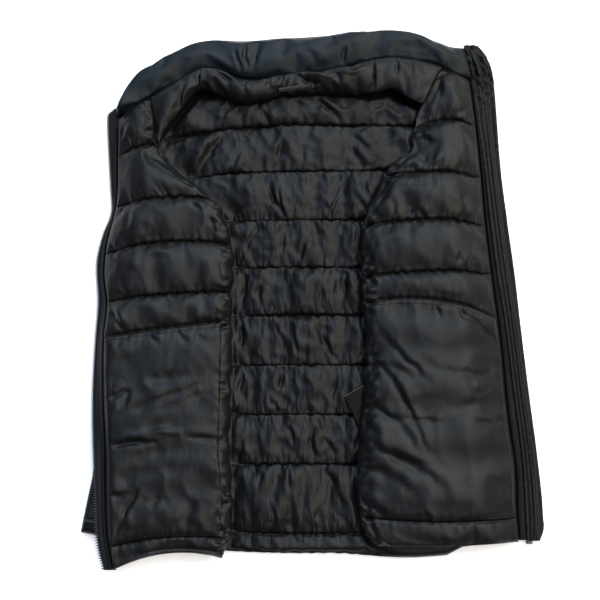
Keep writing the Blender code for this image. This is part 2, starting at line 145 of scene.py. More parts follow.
def overhang(v, reach):
    """How far the cloth just above a quilting row leans down over it: a bell 3 mm up."""
    up = (v - np.floor(v + 1e-9)) * CHANNEL
    return reach * np.exp(-((up - 3) / 2.2) ** 2)


def frilled(x, y, v, seed, reach):
    """How far a quilting row wanders where the thread gathers it, less and less over 7 mm."""
    return reach * ripples(x, y, seed, 0.4, 5, 18) * np.exp(
        -((v - np.round(v)) * CHANNEL / 7) ** 2)


def sunk(v, depth, channel=CHANNEL):
    """How far a quilting row pulls the cloth down: a bell 1.6 mm wide along the row."""
    return depth * np.exp(-((v - np.round(v)) * channel / 1.6) ** 2)


def evened(field, across, along):
    """Mean of a grid of values over 2 across + 1 columns and 2 along + 1 rows."""
    for axis, reach in ((1, across), (0, along)):
        width = [(0, 0)] * field.ndim
        width[axis] = (reach + 1, reach)
        total = np.cumsum(np.pad(field, width, mode="edge"), axis=axis)
        size = total.shape[axis]
        field = (np.take(total, range(2 * reach + 1, size), axis)
                 - np.take(total, range(size - 2 * reach - 1), axis)) / (2 * reach + 1)
    return field


def patches(x, y, seed, calm):
    """Liveliness of the folds: 1 in some places and calm in others, some 100 mm apart."""
    return calm + (1 - calm) * ease(0.5 + 0.9 * ripples(x, y, seed, 1.6, 60, 170))


def quads(ids):
    """The four-cornered faces of a grid of point numbers, facing up."""
    return np.stack([ids[:-1, :-1], ids[:-1, 1:], ids[1:, 1:], ids[1:, :-1]],
                    axis=-1).reshape(-1, 4)


def settled(points, held, excess, swell, cap, lively):
    """The cushion recipe on a grid of points: Blender's cloth with pressure and no gravity,
    the held points pinned and the weave longer than its place by the given excess, stopped
    after 16 frames and moved no further than the cap. The folds, which are what differs
    from the mean around, are kept in full only where the cloth is lively."""
    frames = 16
    ids = np.arange(held.size).reshape(held.shape)
    mesh = bpy.data.meshes.new("cloth_trial")
    mesh.from_pydata((points.reshape(-1, 3) * MM).tolist(), [], quads(ids).tolist())
    trial = bpy.data.objects.new("cloth_trial", mesh)
    bpy.context.scene.collection.objects.link(trial)
    pins = trial.vertex_groups.new(name="held")
    pins.add(np.flatnonzero(held.ravel()).tolist(), 1.0, "REPLACE")
    cloth = trial.modifiers.new("cloth", "CLOTH")
    cloth.settings.quality = 5
    cloth.settings.mass = 0.3
    cloth.settings.tension_stiffness = 15
    cloth.settings.compression_stiffness = 15
    cloth.settings.shear_stiffness = 5
    cloth.settings.bending_stiffness = 80
    cloth.settings.vertex_group_mass = "held"
    cloth.settings.use_pressure = True
    cloth.settings.uniform_pressure_force = swell
    cloth.settings.shrink_min = -excess
    cloth.settings.effector_weights.gravity = 0
    cloth.point_cache.frame_start, cloth.point_cache.frame_end = 1, frames
    stage = bpy.context.scene
    stage.frame_start, stage.frame_end = 1, frames
    for number in range(1, frames + 1):
        stage.frame_set(number)
    result = trial.evaluated_get(bpy.context.evaluated_depsgraph_get()).to_mesh()
    flat = np.empty(len(result.vertices) * 3)
    result.vertices.foreach_get("co", flat)
    bpy.data.objects.remove(trial, do_unlink=True)
    bpy.data.meshes.remove(mesh)
    stage.frame_set(1)
    move = flat.reshape(points.shape) / MM - points
    length = np.linalg.norm(move, axis=-1, keepdims=True)
    move *= cap * np.tanh(length / cap) / np.maximum(length, 1e-9)
    swelling = evened(move, 6, 2)
    folds = evened(move, 0, 1) - swelling
    move = np.where(held[..., None], move, swelling + folds * np.atleast_1d(lively)[..., None])
    return points + move


def as_piece(name, points, faces, finishes):
    """A smooth-shaded object at the origin, its points moved to their place in the frame."""
    mesh = bpy.data.meshes.new(name)
    mesh.from_pydata(((points + ZERO) * MM).tolist(), [], faces.tolist())
    for finish in finishes:
        mesh.materials.append(finish)
    mesh.shade_smooth()
    piece = bpy.data.objects.new(name, mesh)
    bpy.context.scene.collection.objects.link(piece)
    return piece


def skin(name, top, bottom, finishes, thin=False):
    """A closed piece from two grids of points over one plan, X along the columns and Y up the
    rows. The two layers of a padded piece share their border points and have a finish each; a
    thin piece has one finish and its own edge all round."""
    rows, cols = top.shape[:2]
    upper = np.arange(rows * cols).reshape(rows, cols)
    points = top.reshape(-1, 3)
    if thin:
        lower = upper + rows * cols
        points = np.concatenate([points, bottom.reshape(-1, 3)])
    else:
        lower = upper.copy()
        lower[1:-1, 1:-1] = rows * cols + np.arange((rows - 2) * (cols - 2)).reshape(
            rows - 2, cols - 2)
        points = np.concatenate([points, bottom[1:-1, 1:-1].reshape(-1, 3)])
    faces = [quads(upper), quads(lower)[:, ::-1]]
    if thin:
        ring = np.concatenate([upper[0, :], upper[1:, -1], upper[-1, -2::-1],
                               upper[-2:0:-1, 0]])
        after = np.roll(ring, -1)
        faces.append(np.stack([ring, ring + rows * cols, after + rows * cols, after], axis=-1))
    piece = as_piece(name, points, np.concatenate(faces), finishes)
    if not thin:
        piece.data.polygons.foreach_set("material_index", np.repeat(
            [0, 1], [len(side) for side in faces]).astype(np.int32))
    return piece


def stuffed(name, node, top, bottom, finishes):
    """A padded piece: a skin round its filling, in place of the plain solid."""
    piece = skin(name, top, bottom, finishes)
    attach(piece, "root")
    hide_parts(node)


def sewn(run, spacing=3.1, lift=0.15):
    """Points along a seam at an even spacing, with the direction of each, lifted a little."""
    step = np.linalg.norm(np.diff(run, axis=0), axis=1)
    along = np.concatenate([[0], np.cumsum(step)])
    at = np.arange(spacing / 2, along[-1], spacing)
    spots = np.stack([np.interp(at, along, run[:, k]) for k in range(3)], axis=1)
    ahead = np.stack([np.interp(at + 1, along, run[:, k]) for k in range(3)], axis=1)
    behind = np.stack([np.interp(at - 1, along, run[:, k]) for k in range(3)], axis=1)
    way = ahead - behind
    return spots + (0, 0, lift), way / np.maximum(np.linalg.norm(way, axis=1)[:, None], 1e-9)


def repeated(name, spots, ways, half, rings, finish):
    """The same small body at every spot: six-sided rings along its length, each (part of the
    half length, part of the half width), with flat ends; half is its half length, width and
    height, and its length lies along the way."""
    side = np.cross((0, 0, 1), ways)
    side /= np.linalg.norm(side, axis=1)[:, None]
    rise = np.cross(ways, side)
    turn = np.arange(6) * np.pi / 3 + np.pi / 6
    at = np.repeat([r[0] for r in rings], 6) * half[0]
    wide = np.repeat([r[1] for r in rings], 6)
    across = wide * np.tile(np.cos(turn), len(rings)) * half[1]
    tall = wide * np.tile(np.sin(turn), len(rings)) * half[2]
    points = (spots[:, None] + ways[:, None] * at[:, None] + side[:, None] * across[:, None]
              + rise[:, None] * tall[:, None]).reshape(-1, 3)
    count = len(rings)
    one = [(r * 6 + k, r * 6 + (k + 1) % 6, r * 6 + 6 + (k + 1) % 6, r * 6 + 6 + k)
           for r in range(count - 1) for k in range(6)]
    ends = [(3, 2, 1, 0), (5, 4, 3, 0),
            *[tuple((count - 1) * 6 + k for k in e) for e in ((0, 1, 2, 3), (0, 3, 4, 5))]]
    one = np.array(one + ends)
    faces = (one[None] + (np.arange(len(spots)) * count * 6)[:, None, None]).reshape(-1, 4)
    return as_piece(name, points, faces, (finish,))


def colour(code):
    """An sRGB hex colour as linear values."""
    value = np.array([int(code[k:k + 2], 16) for k in (1, 3, 5)]) / 255
    value = np.where(value <= 0.04045, value / 12.92, ((value + 0.055) / 1.055) ** 2.4)
    return (*value.tolist(), 1.0)


def add_node(tree, kind, settings=None, inputs=None):
    """One node with its settings; an input that is given a socket is linked to it."""
    made = tree.nodes.new(kind)
    for name, value in (settings or {}).items():
        setattr(made, name, value)
    for name, value in (inputs or {}).items():
        if isinstance(value, bpy.types.NodeSocket):
            tree.links.new(value, made.inputs[name])
        else:
            made.inputs[name].default_value = value
    return made


def cloth_finish(name, dark, light, rough, crumple, weave, sheen=0.0, level=0.17):
    """A fabric: tone and gloss drifting over about 60 mm, a fine crumple in ridges about 7 mm
    apart and a crossed weave, given as its spacing and depth; all in millimetres."""
    drift_size, crumple_size = 60, 14
    spacing, depth = weave
    bands = 0.314 / (spacing * MM)      # a wave texture repeats every 0.314 / Scale
    finish = bpy.data.materials.new(name)
    finish.use_nodes = True
    tree = finish.node_tree
    tree.nodes.clear()
    place = add_node(tree, "ShaderNodeTexCoord").outputs["Object"]
    drift = add_node(tree, "ShaderNodeTexNoise", None,
                     {"Vector": place, "Scale": 1 / (drift_size * MM), "Detail": 3.0})
    tone = add_node(tree, "ShaderNodeMix", {"data_type": "RGBA"},
                    {"Factor": drift.outputs["Fac"], "A": colour(dark), "B": colour(light)})
    fine = add_node(tree, "ShaderNodeTexNoise", {"noise_type": "RIDGED_MULTIFRACTAL"},
                    {"Vector": place, "Scale": 1 / (crumple_size * MM), "Detail": 3.0,
                     "Roughness": 0.5, "Distortion": 0.6})
    gloss = add_node(tree, "ShaderNodeMapRange", None,
                     {"Value": drift.outputs["Fac"], "From Min": 0.3, "From Max": 0.7,
                      "To Min": rough - 0.05, "To Max": rough + 0.06})
    warp = add_node(tree, "ShaderNodeTexWave", {"bands_direction": "X"},
                    {"Vector": place, "Scale": bands, "Distortion": 0.0})
    weft = add_node(tree, "ShaderNodeTexWave", {"bands_direction": "Y"},
                    {"Vector": place, "Scale": bands, "Distortion": 0.0})
    threads = add_node(tree, "ShaderNodeMath", {"operation": "MAXIMUM"},
                       {0: warp.outputs["Fac"], 1: weft.outputs["Fac"]})
    first = add_node(tree, "ShaderNodeBump", None,
                     {"Height": threads.outputs[0], "Strength": 0.5, "Distance": depth * MM})
    second = add_node(tree, "ShaderNodeBump", None,
                      {"Height": fine.outputs["Fac"], "Strength": 0.6,
                       "Distance": crumple * MM, "Normal": first.outputs["Normal"]})
    shader = add_node(tree, "ShaderNodeBsdfPrincipled", None,
                      {"Base Color": tone.outputs["Result"], "Roughness": gloss.outputs["Result"],
                       "Normal": second.outputs["Normal"], "Sheen Weight": sheen,
                       "Sheen Roughness": 0.5, "Specular IOR Level": level})
    add_node(tree, "ShaderNodeOutputMaterial", None, {"Surface": shader.outputs["BSDF"]})
    return finish


# Calendered nylon taffeta, black: smooth, with a soft broad gloss on every fold. Its threads,
# 0.1 mm apart, are drawn at 0.9 mm, as coarse as they need to show, and very shallow.
lining = cloth_finish("nylon_taffeta", "#0e0f10", "#121111", 0.39, 0.6, (0.9, 0.01), level=0.15)
# On the back the same taffeta is worn into a finer crumple and has lost some of its gloss.
creased_lining = cloth_finish("creased_taffeta", "#0c0d0e", "#100f0f", 0.40, 1.1, (0.9, 0.01),
                              level=0.135)
# The shell is the same yarn woven closer and dulled by its water-repellent finish, so it
# shows almost no gloss.
shell = cloth_finish("shell_taffeta", "#0a0b0d", "#0e0f11", 0.52, 0.4, (0.9, 0.01))

# Each row: its two ends and the height in plan of its middle, for it bows; then how high the
# cloth is on the row and in the channel above.
BACK = table("x_left y_left y_mid x_right y_right line crown", [
    (-260, -284, -308, 235, -296, 4, 10),       # hem edge
    (-256, -259, -286, 228, -272, 8, 16),       # hem line
    (-247, -204, -204, 222, -204, 7, 16),
    (-241, -146, -144, 214, -146, 7, 16),
    (-235, -84, -83, 208, -85, 7, 16),
    (-230, -21, -21, 203, -21, 7, 16),
    (-227, 40, 40, 200, 40, 7, 16),
    (-221, 99, 102, 193, 103, 7, 16),
    (-203, 150, 167, 172, 172, 7, 16),
    (-196, 206, 229, 164, 227, 7, 16),
    (-190, 232, 256, 168, 258, 15, 16),
    (-166, 276, 290, 146, 304, 17, 17)])        # neck edge
# The inner folds of the fronts, where the back comes into view.
LEFT_FOLD = table("y x", [
    (-316, -92), (-304, -87), (-177, -84), (-81, -83), (-7, -84), (69, -85), (95, -93),
    (116, -102), (138, -126), (162, -156), (174, -170), (195, -181.5), (225, -184.5),
    (248, -187), (268, -190)])
RIGHT_FOLD = table("y x", [
    (-302, 92), (-286, 78), (-265, 71), (-165, 72), (-108, 79), (-68, 81), (-11, 77), (36, 76),
    (87, 78), (107, 83), (134, 98), (173, 120), (186, 139), (205, 143), (239, 151), (264, 160),
    (287, 170), (303, 181)])
# Across the neck, in plan: the collar seam, the collar's outer rim and the lip of the roll
# below it; then how high the roll is.
NECK = table("seam_x seam_y outer_x outer_y lip_x lip_y crown", [
    (-236, 241, -239, 250, -180, 200, 28),
    (-211, 254, -212, 297, -180, 200, 28),
    (-187, 268, -190, 313, -178.5, 199, 30),
    (-168, 279, -168, 327, -171, 216, 35),
    (-148, 290, -142, 340, -149, 246, 37),
    (-127, 301, -118, 345, -129, 270, 37),
    (-104, 300, -98, 346, -106, 265, 37),
    (-70, 289, -70, 345, -69, 253, 38),
    (-27, 291, -27, 349, -27, 263, 37),
    (1, 295, 1, 350, 1, 265, 36),
    (35, 300, 36, 353, 34, 266.5, 37),
    (65, 307, 66, 358, 64, 264, 38),
    (96, 315, 96, 359, 96, 266, 37),
    (122, 318, 124, 359, 119, 271, 36),
    (149, 315, 150, 355, 140, 257, 35),
    (176, 309, 176, 345, 156, 252, 31),
    (198, 300, 196, 338, 157, 252, 31),
    (220, 294, 213, 337, 157, 252, 31)])


def fold_crossing(fold, x_side, y_side, y_mid):
    """Where a bowed quilting row of the back crosses a front's inner fold."""
    x = smooth(fold["y"], fold["x"], y_mid)
    for _ in range(3):
        y = y_mid + (y_side - y_mid) * np.clip(x / x_side, 0, 1) ** 2
        x = smooth(fold["y"], fold["x"], y)
    return x


EDGE_MIDDLE, EDGE_ROUND = 6, 8      # height of the round edge's middle and its radius
PRESSED = 14                        # height of the back where the fronts lie on it
HEM_END, NECK_START = 0.5, 10       # the hem facing and the neck stretch, in rows
row = np.arange(len(BACK["line"]))
v = channel_lines((12, 26, 24, 24, 24, 24, 24, 26, 26, 12, 12))
x_left, y_left, y_mid, x_right, y_right = (
    smooth(row, BACK[name], v) for name in ("x_left", "y_left", "y_mid", "x_right", "y_right"))
left_limit = np.maximum(fold_crossing(LEFT_FOLD, x_left, y_left, y_mid), x_left + 14)
right_limit = np.minimum(fold_crossing(RIGHT_FOLD, x_right, y_right, y_mid), x_right - 14)
RIM = np.array((0, 0.7, 2, 4.5, 8))         # grid lines this far in from an edge
WIDE = RIM[-1]
hidden = np.linspace(0.12, 0.96, 7)
open_part = np.linspace(0, 1, 148)
x = np.concatenate([x_left + RIM, x_left + WIDE + (left_limit - x_left - WIDE) * hidden,
                    left_limit + (right_limit - left_limit) * open_part,
                    x_right - WIDE + (right_limit - x_right + WIDE) * hidden[::-1],
                    x_right - RIM[::-1]], axis=1)
y = (y_mid + (y_left - y_mid) * np.clip(x / x_left, 0, 1) ** 2
     + (y_right - y_mid) * np.clip(x / x_right, 0, 1) ** 2)
# The hem facing dips 9 mm on the right.
y = y - 9 * ease((x - 30) / 110) * ease((197 - x) / 25) * np.clip(1 - v, 0, 1)
line = np.interp(v, row, BACK["line"])
crown = BACK["crown"][np.minimum(v.astype(int), len(row) - 1)]
quilted = np.where(v > 9, 9 + (v - 9) / 2, v)       # the last channel takes two table rows
inside = np.minimum(x - left_limit, right_limit - x)
y = y + frilled(x, y, quilted, 15, 0.6) * ease(inside / 6) * (0.3 + 0.7 * ease(v * 2))
y = y - overhang(quilted, 1.3) * ease(inside / 6) * (v > HEM_END) * (v < NECK_START)
edge = np.minimum(np.minimum(x - x_left, x_right - x), y - y[0])
loose = ease((inside + 12) / 14)                    # 1 in the open, 0 under the fronts
top = PRESSED + (line + (crown - line) * puffs(quilted) - PRESSED) * loose
top = top + 0.30 * ripples(x, y, 11) * puffs(quilted) * loose
top = EDGE_MIDDLE + (top - EDGE_MIDDLE) * turned(edge, EDGE_ROUND)
top[-1] = 9
bottom = EDGE_MIDDLE - EDGE_MIDDLE * turned(np.minimum(edge, y[-1] - y), EDGE_ROUND)
bottom = bottom + sunk(v, 2.2, 30) * ease((edge - 8) / 10)
held = (np.abs(quilted - np.round(quilted)) < 1e-9) | (inside < -2)
held[[0, 1, -2, -1]] = True
# The folds are liveliest beside the rows and towards the hem.
lively = patches(x, y, 14, 0.12) * (1.1 - 0.3 * ease((y + 50) / 200)) * (
    1.05 - 0.6 * puffs(quilted) ** 3)
points = settled(np.stack([x, y, top], axis=-1), held, excess=0.06, swell=4.0, cap=6.0,
                 lively=0.55 * lively)
near_rows = 1.15 - puffs(quilted)
points[..., 2] -= 2.0 * gathers(x, y, 12) * near_rows * loose
points[..., 2] += 1.6 * facets(x, y, 16, 14, 44) * puffs(quilted) * loose
points = creased(points, [
    (3.5, 2.4, -55, 257, -44, 237, -31, 218), (4.5, 2.6, 21, 265, 40, 246, 58, 229),
    (2.0, 2.4, -95, 252, -99, 239, -107, 225), (1.6, 2.2, -78, 254, -80, 246, -82, 239),
    (2.6, 2.4, 104, 258, 117, 239, 128, 231),
    (5.0, 4.0, -132, 160, -115, 194, -98, 214), (3.6, 2.6, -39, 167, -27, 191, -20, 210),
    (1.8, 2.2, -32, 194, -38, 180, -41, 178), (1.5, 3.0, 0, 205, 4, 188, 0, 167),
    (3.2, 2.4, 61, 217, 78, 205, 92, 194), (4.2, 2.8, 66, 198, 77, 179, 89, 170),
    (2.4, 2.2, 96, 180, 93, 175, 89, 170), (2.0, 2.0, 14, 180, 18, 172, 20, 167),
    (2.2, 3.0, -76, 201, -84, 180, -91, 162), (3.8, 2.4, -37, 152, -33, 128, -16, 101),
    (2.6, 2.0, -28, 147, -26, 124, -19, 103), (3.2, 2.2, -63, 118, -78, 114, -91, 102),
    (2.4, 2.0, 25, 127, 36, 113, 35, 103), (2.0, 2.0, 49, 127, 40, 115, 38, 106),
    (3.4, 2.4, 66, 139, 75, 124, 87, 111), (2.2, 2.4, 78, 156, 83, 140, 88, 127),
    (1.8, 2.4, 50, 138, 44, 124, 41, 118), (3.4, 2.8, -51, 93, -64, 73, -67, 61),
    (2.6, 2.2, -71, 58, -75, 49, -79, 41), (3.2, 2.4, 15, 76, 2, 63, 0, 48),
    (3.0, 2.4, 61, 100, 71, 84, 64, 64), (1.8, 2.2, -25, 88, -21, 72, -24, 57),
    (3.0, 2.4, -69, 35, -70, 14, -75, -3), (1.8, 2.2, 27, 16, 26, 6, 23, -6),
    (3.2, 2.2, 56, 35, 57, 14, 49, -5), (2.0, 2.4, -47, 21, -52, 6, -47, -11),
    (3.0, 2.6, -75, -30, -72, -49, -78, -61), (1.4, 2.6, -5, -42, -7, -58, -3, -72),
    (4.0, 2.4, 27, -42, 33, -62, 47, -77), (2.0, 2.4, -34, -32, -24, -47, -20, -61),
    (2.6, 2.0, -19, -95, -24, -106, -28, -116), (2.2, 2.4, -41, -120, -33, -132, -25, -144),
    (2.4, 2.2, 45, -99, 42, -111, 36, -122), (2.6, 2.6, -68, -92, -73, -104, -77, -116),
    (2.6, 2.4, -19, -156, -11, -169, -7, -180), (3.4, 2.6, 26, -160, 13, -178, 24, -199),
    (3.0, 2.4, 26, -174, 36, -183, 44, -195), (2.4, 2.6, -68, -174, -72, -188, -75, -199),
    (2.6, 2.8, -40, -211, -47, -221, -52, -234), (3.4, 2.2, 26, -208, 36, -221, 46, -234),
    (2.4, 2.2, 40, -238, 47, -245, 52, -249), (2.4, 2.8, -40, -252, -33, -261, -27, -272),
    (2.4, 2.2, 28, -254, 21, -263, 14, -272), (1.8, 2.4, -12, -210, -14, -224, -11, -238),
], 0.3 + 0.7 * puffs(quilted))
# The rows sink, and so does the cloth beside both fronts, most beside the left one.
points[..., 2] -= (sunk(quilted, 3.4) * (v < NECK_START)
                   + 2.0 * np.exp(-((right_limit - x) / 4.5) ** 2)
                   + 1.0 * np.exp(-((x - left_limit) / 4.5) ** 2)
                   + 8.0 * np.exp(-((x - left_limit) / 30) ** 2)) * loose
# Under the neck roll's lip, given here as x and y, the back drops to 7 mm.
lip = np.interp(x, (-178, -171, -149, -129, -106, -69, -27, 34, 96, 113, 142, 157),
                (199, 216, 246, 270, 265, 253, 263, 266, 267, 272, 257, 252))
cavity = ease((y - lip + 6) / 7) * loose * np.interp(
    x, (-150, -116, -96, 70, 104, 124), (1, 0.8, 0, 0, 0.7, 1))
points[..., 2] += (7 - points[..., 2]) * cavity * (v < 10.9)
points[..., 2] = np.minimum(points[..., 2], 13.8 + np.maximum(1.1 * inside, 0))
points[..., 2] = np.maximum(points[..., 2], bottom + 1.5 * turned(edge, EDGE_ROUND))
stuffed("back_quilt", "back_panel", points, np.stack([x, y, bottom], axis=-1),
        (creased_lining, shell))

# Black spun polyester thread in 3 mm stitches, sunk in each row: dull, so that a row reads as
# a fine dotted line.
thread = cloth_finish("polyester_thread", "#070708", "#0c0c0d", 0.6, 0.1, (0.3, 0.02),
                      level=0.06)
STITCH = ((-1, 0.45), (-0.6, 1), (0.6, 1), (1, 0.45))


def stitched(name, runs, half=(1.1, 0.35, 0.3)):
    """Rows of stitches along runs of points; half is a stitch's half length, width, height."""
    spots, ways = map(np.concatenate, zip(*[sewn(run) for run in runs]))
    stitches = repeated(name, spots, ways, half, STITCH, thread)
    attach(stitches, "root")


rows_at = [int(np.flatnonzero(np.abs(v[:, 0] - k) < 1e-9)[0]) for k in range(1, len(row) - 2)]
stitched("back_stitches", [points[k, 10:-10] for k in rows_at])


# ---- Folded layers of the fronts -------------------------------------------------------------
# From the side fold each front first runs in over the back and then turns out again. These are
# the hidden stretches, quilted like the rest and pressed flat between the back and the front.
def under_fold(side, fold, y_hem, y_hem_side, y_top, sign):
    """A flat pad with half-round edges: its outer edge 3 mm inside the back's side edge, its
    inner edge 16 mm short of the fold; shallow waves follow the quilting rows."""
    middle, low, valley = 20.5, 14.3, 28 - 1.2      # heights
    t = np.linspace(0, 1, 90)[:, None]
    lines = [y_hem + (y_top - y_hem) * t, y_hem_side + (y_top - y_hem_side) * t]
    outer = smooth(BACK["y_" + side], BACK["x_" + side], lines[1]) - sign * 3
    inner = smooth(fold["y"], fold["x"], lines[0]) + sign * 16
    s = np.concatenate([RIM / 160, np.linspace(0.08, 0.92, 12), 1 - RIM[::-1] / 160])
    x, y = outer + (inner - outer) * s, lines[1] + (lines[0] - lines[1]) * s
    width = np.abs(inner - outer)
    edge = np.minimum(np.minimum(s * width, (1 - s) * width),
                      np.minimum(y - y[0], y[-1] - y))
    high = valley + 1.2 * (1 - np.cos(2 * np.pi * (y - 40) / 61.5)) / 2
    top, bottom = (np.stack([x, y, middle + (z - middle) * turned(edge, EDGE_ROUND)],
                            axis=-1)[:, ::-sign] for z in (high, low))
    stuffed(side + "_folded_layer", side + "_under_fold", top, bottom, (shell, lining))


under_fold("left", LEFT_FOLD, -296, -272, 110, -1)
under_fold("right", RIGHT_FOLD, -288, -280, 146, 1)


# ---- Fronts and pocket bags ------------------------------------------------------------------
# Each front lies lining up from the neck to the hem, its zip edge outside and its inner edge
# rolled down onto the back. Above the pocket mouth its rows gather the lining; below, a flat
# bag of the same lining hangs free from the mouth and hides the quilting.
LEFT_ZIP = table("y x", [
    (-327, -215), (-285, -223), (-250, -226), (-188, -229), (-125, -234), (-53, -237),
    (-4, -237), (25, -242), (61, -242), (119, -232), (186, -233), (234, -235)])
RIGHT_ZIP = table("y x", [
    (-295, 258), (-268, 257), (-204, 257), (-165, 253), (-111, 249), (-67, 247), (-9, 242),
    (34, 238), (98, 233), (164, 230), (249, 224), (291, 220)])
# Each row: where it meets the zip edge and the fold and how far it bows; how high its
# underside is at the zip, in the middle and at the fold, and how far in it climbs; how thick
# the padding is on the row, and how much more in the channel above.
FRONT_COLUMNS = "y_zip y_fold rise z_zip z_mid z_fold reach line puff"
LEFT_ROWS = table(FRONT_COLUMNS, [
    (-327, -314, 12, 28.5, 28.3, 14.3, 12, 1, 2),       # hem edge
    (-302, -293, 7, 28.5, 28.3, 14.3, 12, 8, 3),        # hem line
    (-250, -240, 4, 28.5, 28.3, 14.3, 12, 11, 3),
    (-188, -180, 4, 28.5, 28.3, 14.3, 12, 11, 3),
    (-125, -115, 4, 28.5, 28.3, 14.3, 12, 11, 3),
    (-54, -34, 1, 26.5, 28.3, 14.3, 9, 8.5, 6),         # pocket mouth
    (-8, 3, 2, 16, 28.3, 14.3, 9.5, 7, 7),
    (54, 63, 7, 10, 28.3, 14.3, 17.5, 7, 7),
    (116, 122, 4, 8, 28.3, 14.3, 24, 7, 7),
    (185, 199, 3, 4, 15, 14.3, 20, 7, 7),
    (239, 265.5, 0, 1.5, 14.3, 14.3, 16, 8, 7)])        # neck seam
RIGHT_ROWS = table(FRONT_COLUMNS, [
    (-295, -300, -3, 6.4, 28.3, 14.3, 28, 1, 2),        # hem edge
    (-268, -267, -6, 6.4, 28.3, 14.3, 33, 8, 3),        # hem line
    (-205, -206, 2, 6.4, 28.3, 14.3, 39, 11, 3),
    (-146, -147, 2, 6.4, 28.3, 14.3, 41, 11, 3),
    (-87, -88, 3, 6.4, 28.3, 14.3, 43, 11, 3),
    (-28, -10, 11, 6.4, 28.3, 14.3, 43, 8.5, 5),        # pocket mouth
    (29, 24, 2, 6.4, 28.3, 14.3, 42, 7, 7),
    (91, 88, 5, 6.4, 28.3, 14.3, 42, 7, 7),
    (155, 154, 3, 6.4, 28.3, 14.3, 42, 7, 7),
    (224, 220, 9, 6.4, 16, 14.3, 28, 7, 7),
    (291, 303, 1.5, 6.4, 14.3, 14.3, 12, 8, 7)])        # neck seam
HEM_LINE, MOUTH = 1, 5              # rows of both tables
LAYER_TOP = 28.3                    # height of the hidden layer, which the front lies on
ORDER = {"left": np.s_[:, :], "right": np.s_[:, ::-1]}      # of the columns, left to right
BAG_GAP, BAG_WALL = 0.3, 0.55       # the bag's height above the front and its thickness
BAG_SEAMS = (1.6, 6.8)              # its two rows of stitches, from the mouth


def laid(name, node, top, bottom, finish):
    """A flat piece of cloth with its own thin edge, lying on another piece."""
    piece = skin(name, top, bottom, (finish,), thin=True)
    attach(piece, "root")
    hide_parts(node)


def front_grid(rows, zip_edge, fold, seed, slack, bend):
    """Top and underside of a front as grids from zip to fold. Across, the top climbs from the
    thick zip edge to the hidden layer's height and rolls down over the fold within the bend;
    slack is how far it sags, over 42 mm, beside the zip and beside the fold."""
    index = np.arange(len(rows["line"]))
    v = channel_lines((12, 20, 20, 20, 24, 18, 24, 24, 24, 20))
    y_zip, y_fold, rise = (smooth(index, rows[c], v) for c in ("y_zip", "y_fold", "rise"))
    x_zip = smooth(zip_edge["y"], zip_edge["x"], y_zip)
    x_fold = smooth(fold["y"], fold["x"], y_fold)
    z_zip, z_mid, z_fold, reach, line = (
        np.interp(v, index, rows[c]) for c in ("z_zip", "z_mid", "z_fold", "reach", "line"))
    flat = (v > HEM_LINE) & (v < MOUTH)
    swell = np.where(flat, 0.5 - 0.5 * np.cos(2 * np.pi * v), puffs(v))
    puff = rows["puff"][np.minimum(v.astype(int), len(index) - 1)] * swell
    width = np.hypot(x_fold - x_zip, y_fold - y_zip)
    near, far = np.array((0, 0.3, 1, 2.2, 4.2, 7.5)), np.array((12, 9, 6.5, 4.2, 2.4, 1, 0.2, 0))
    s = np.concatenate([near + 0 * width, 7.5 + (width - 21) * np.linspace(0.015, 0.99, 70),
                        width - far], axis=1)           # distance from the zip edge
    t = s / width
    outward = np.sign(x_fold - x_zip)
    inner = width - s
    x = x_zip + (x_fold - x_zip) * t + outward * 1.5 * (puffs(v) - 0.6) * ease(1 - inner / 14)
    y = y_zip + (y_fold - y_zip) * t + rise * 4 * t * (1 - t)
    x = x + outward * 0.9 * ripples(y, x, seed + 6, 0.3, 8, 34) * ease(1 - inner / 14)
    y = y + (frilled(x, y, v, seed + 7, 0.8) - overhang(v, 1.6)) * ease(s / 8) * (
        v > MOUTH + 0.5) * (v < len(index) - 1.5)
    low = z_zip + (z_mid - z_zip) * ease(s / (reach + 8))
    low = low + (z_fold - low) * ease((s - width + 14) / 2)
    crest = z_mid + line + puff + 0.28 * ripples(x, y, seed) * puffs(v) * (v > MOUTH)
    crest = crest - slack[0] * np.exp(-(s / 42) ** 2) - slack[1] * np.exp(-(inner / 42) ** 2)
    middle = 25 - (LAYER_TOP - z_mid) * 0.5     # of the round fold
    lip, start = z_zip + 2.4, z_zip + 8.5       # the sewn zip edge and the padding behind it
    t = np.clip(s / (12 + 2 * (z_mid + line - start)), 0, 1)
    high = start + (crest - start) * np.where(t < 0.6, 1.25 * t, 1 - (1 - t) ** 2 / 0.64)
    high = lip + (high - lip) * np.sqrt(turned(s, 5))
    high = np.maximum(high, low + 4 * turned(s, 3.5))
    high = np.where(inner < bend, middle + (high - middle) * turned(inner, bend), high)
    low = lip + (low - lip) * turned(s, 3)
    low = np.where(inner < 9, middle + (z_fold - middle) * turned(inner, 9), low)
    ends = turned(np.minimum(y - y[0], (y[-1] - y)), 7)
    half = (high + low) / 2
    return (np.stack([x, y, half + (high - half) * ends], axis=-1),
            np.stack([x, y, half + (low - half) * ends], axis=-1), v, s, width)


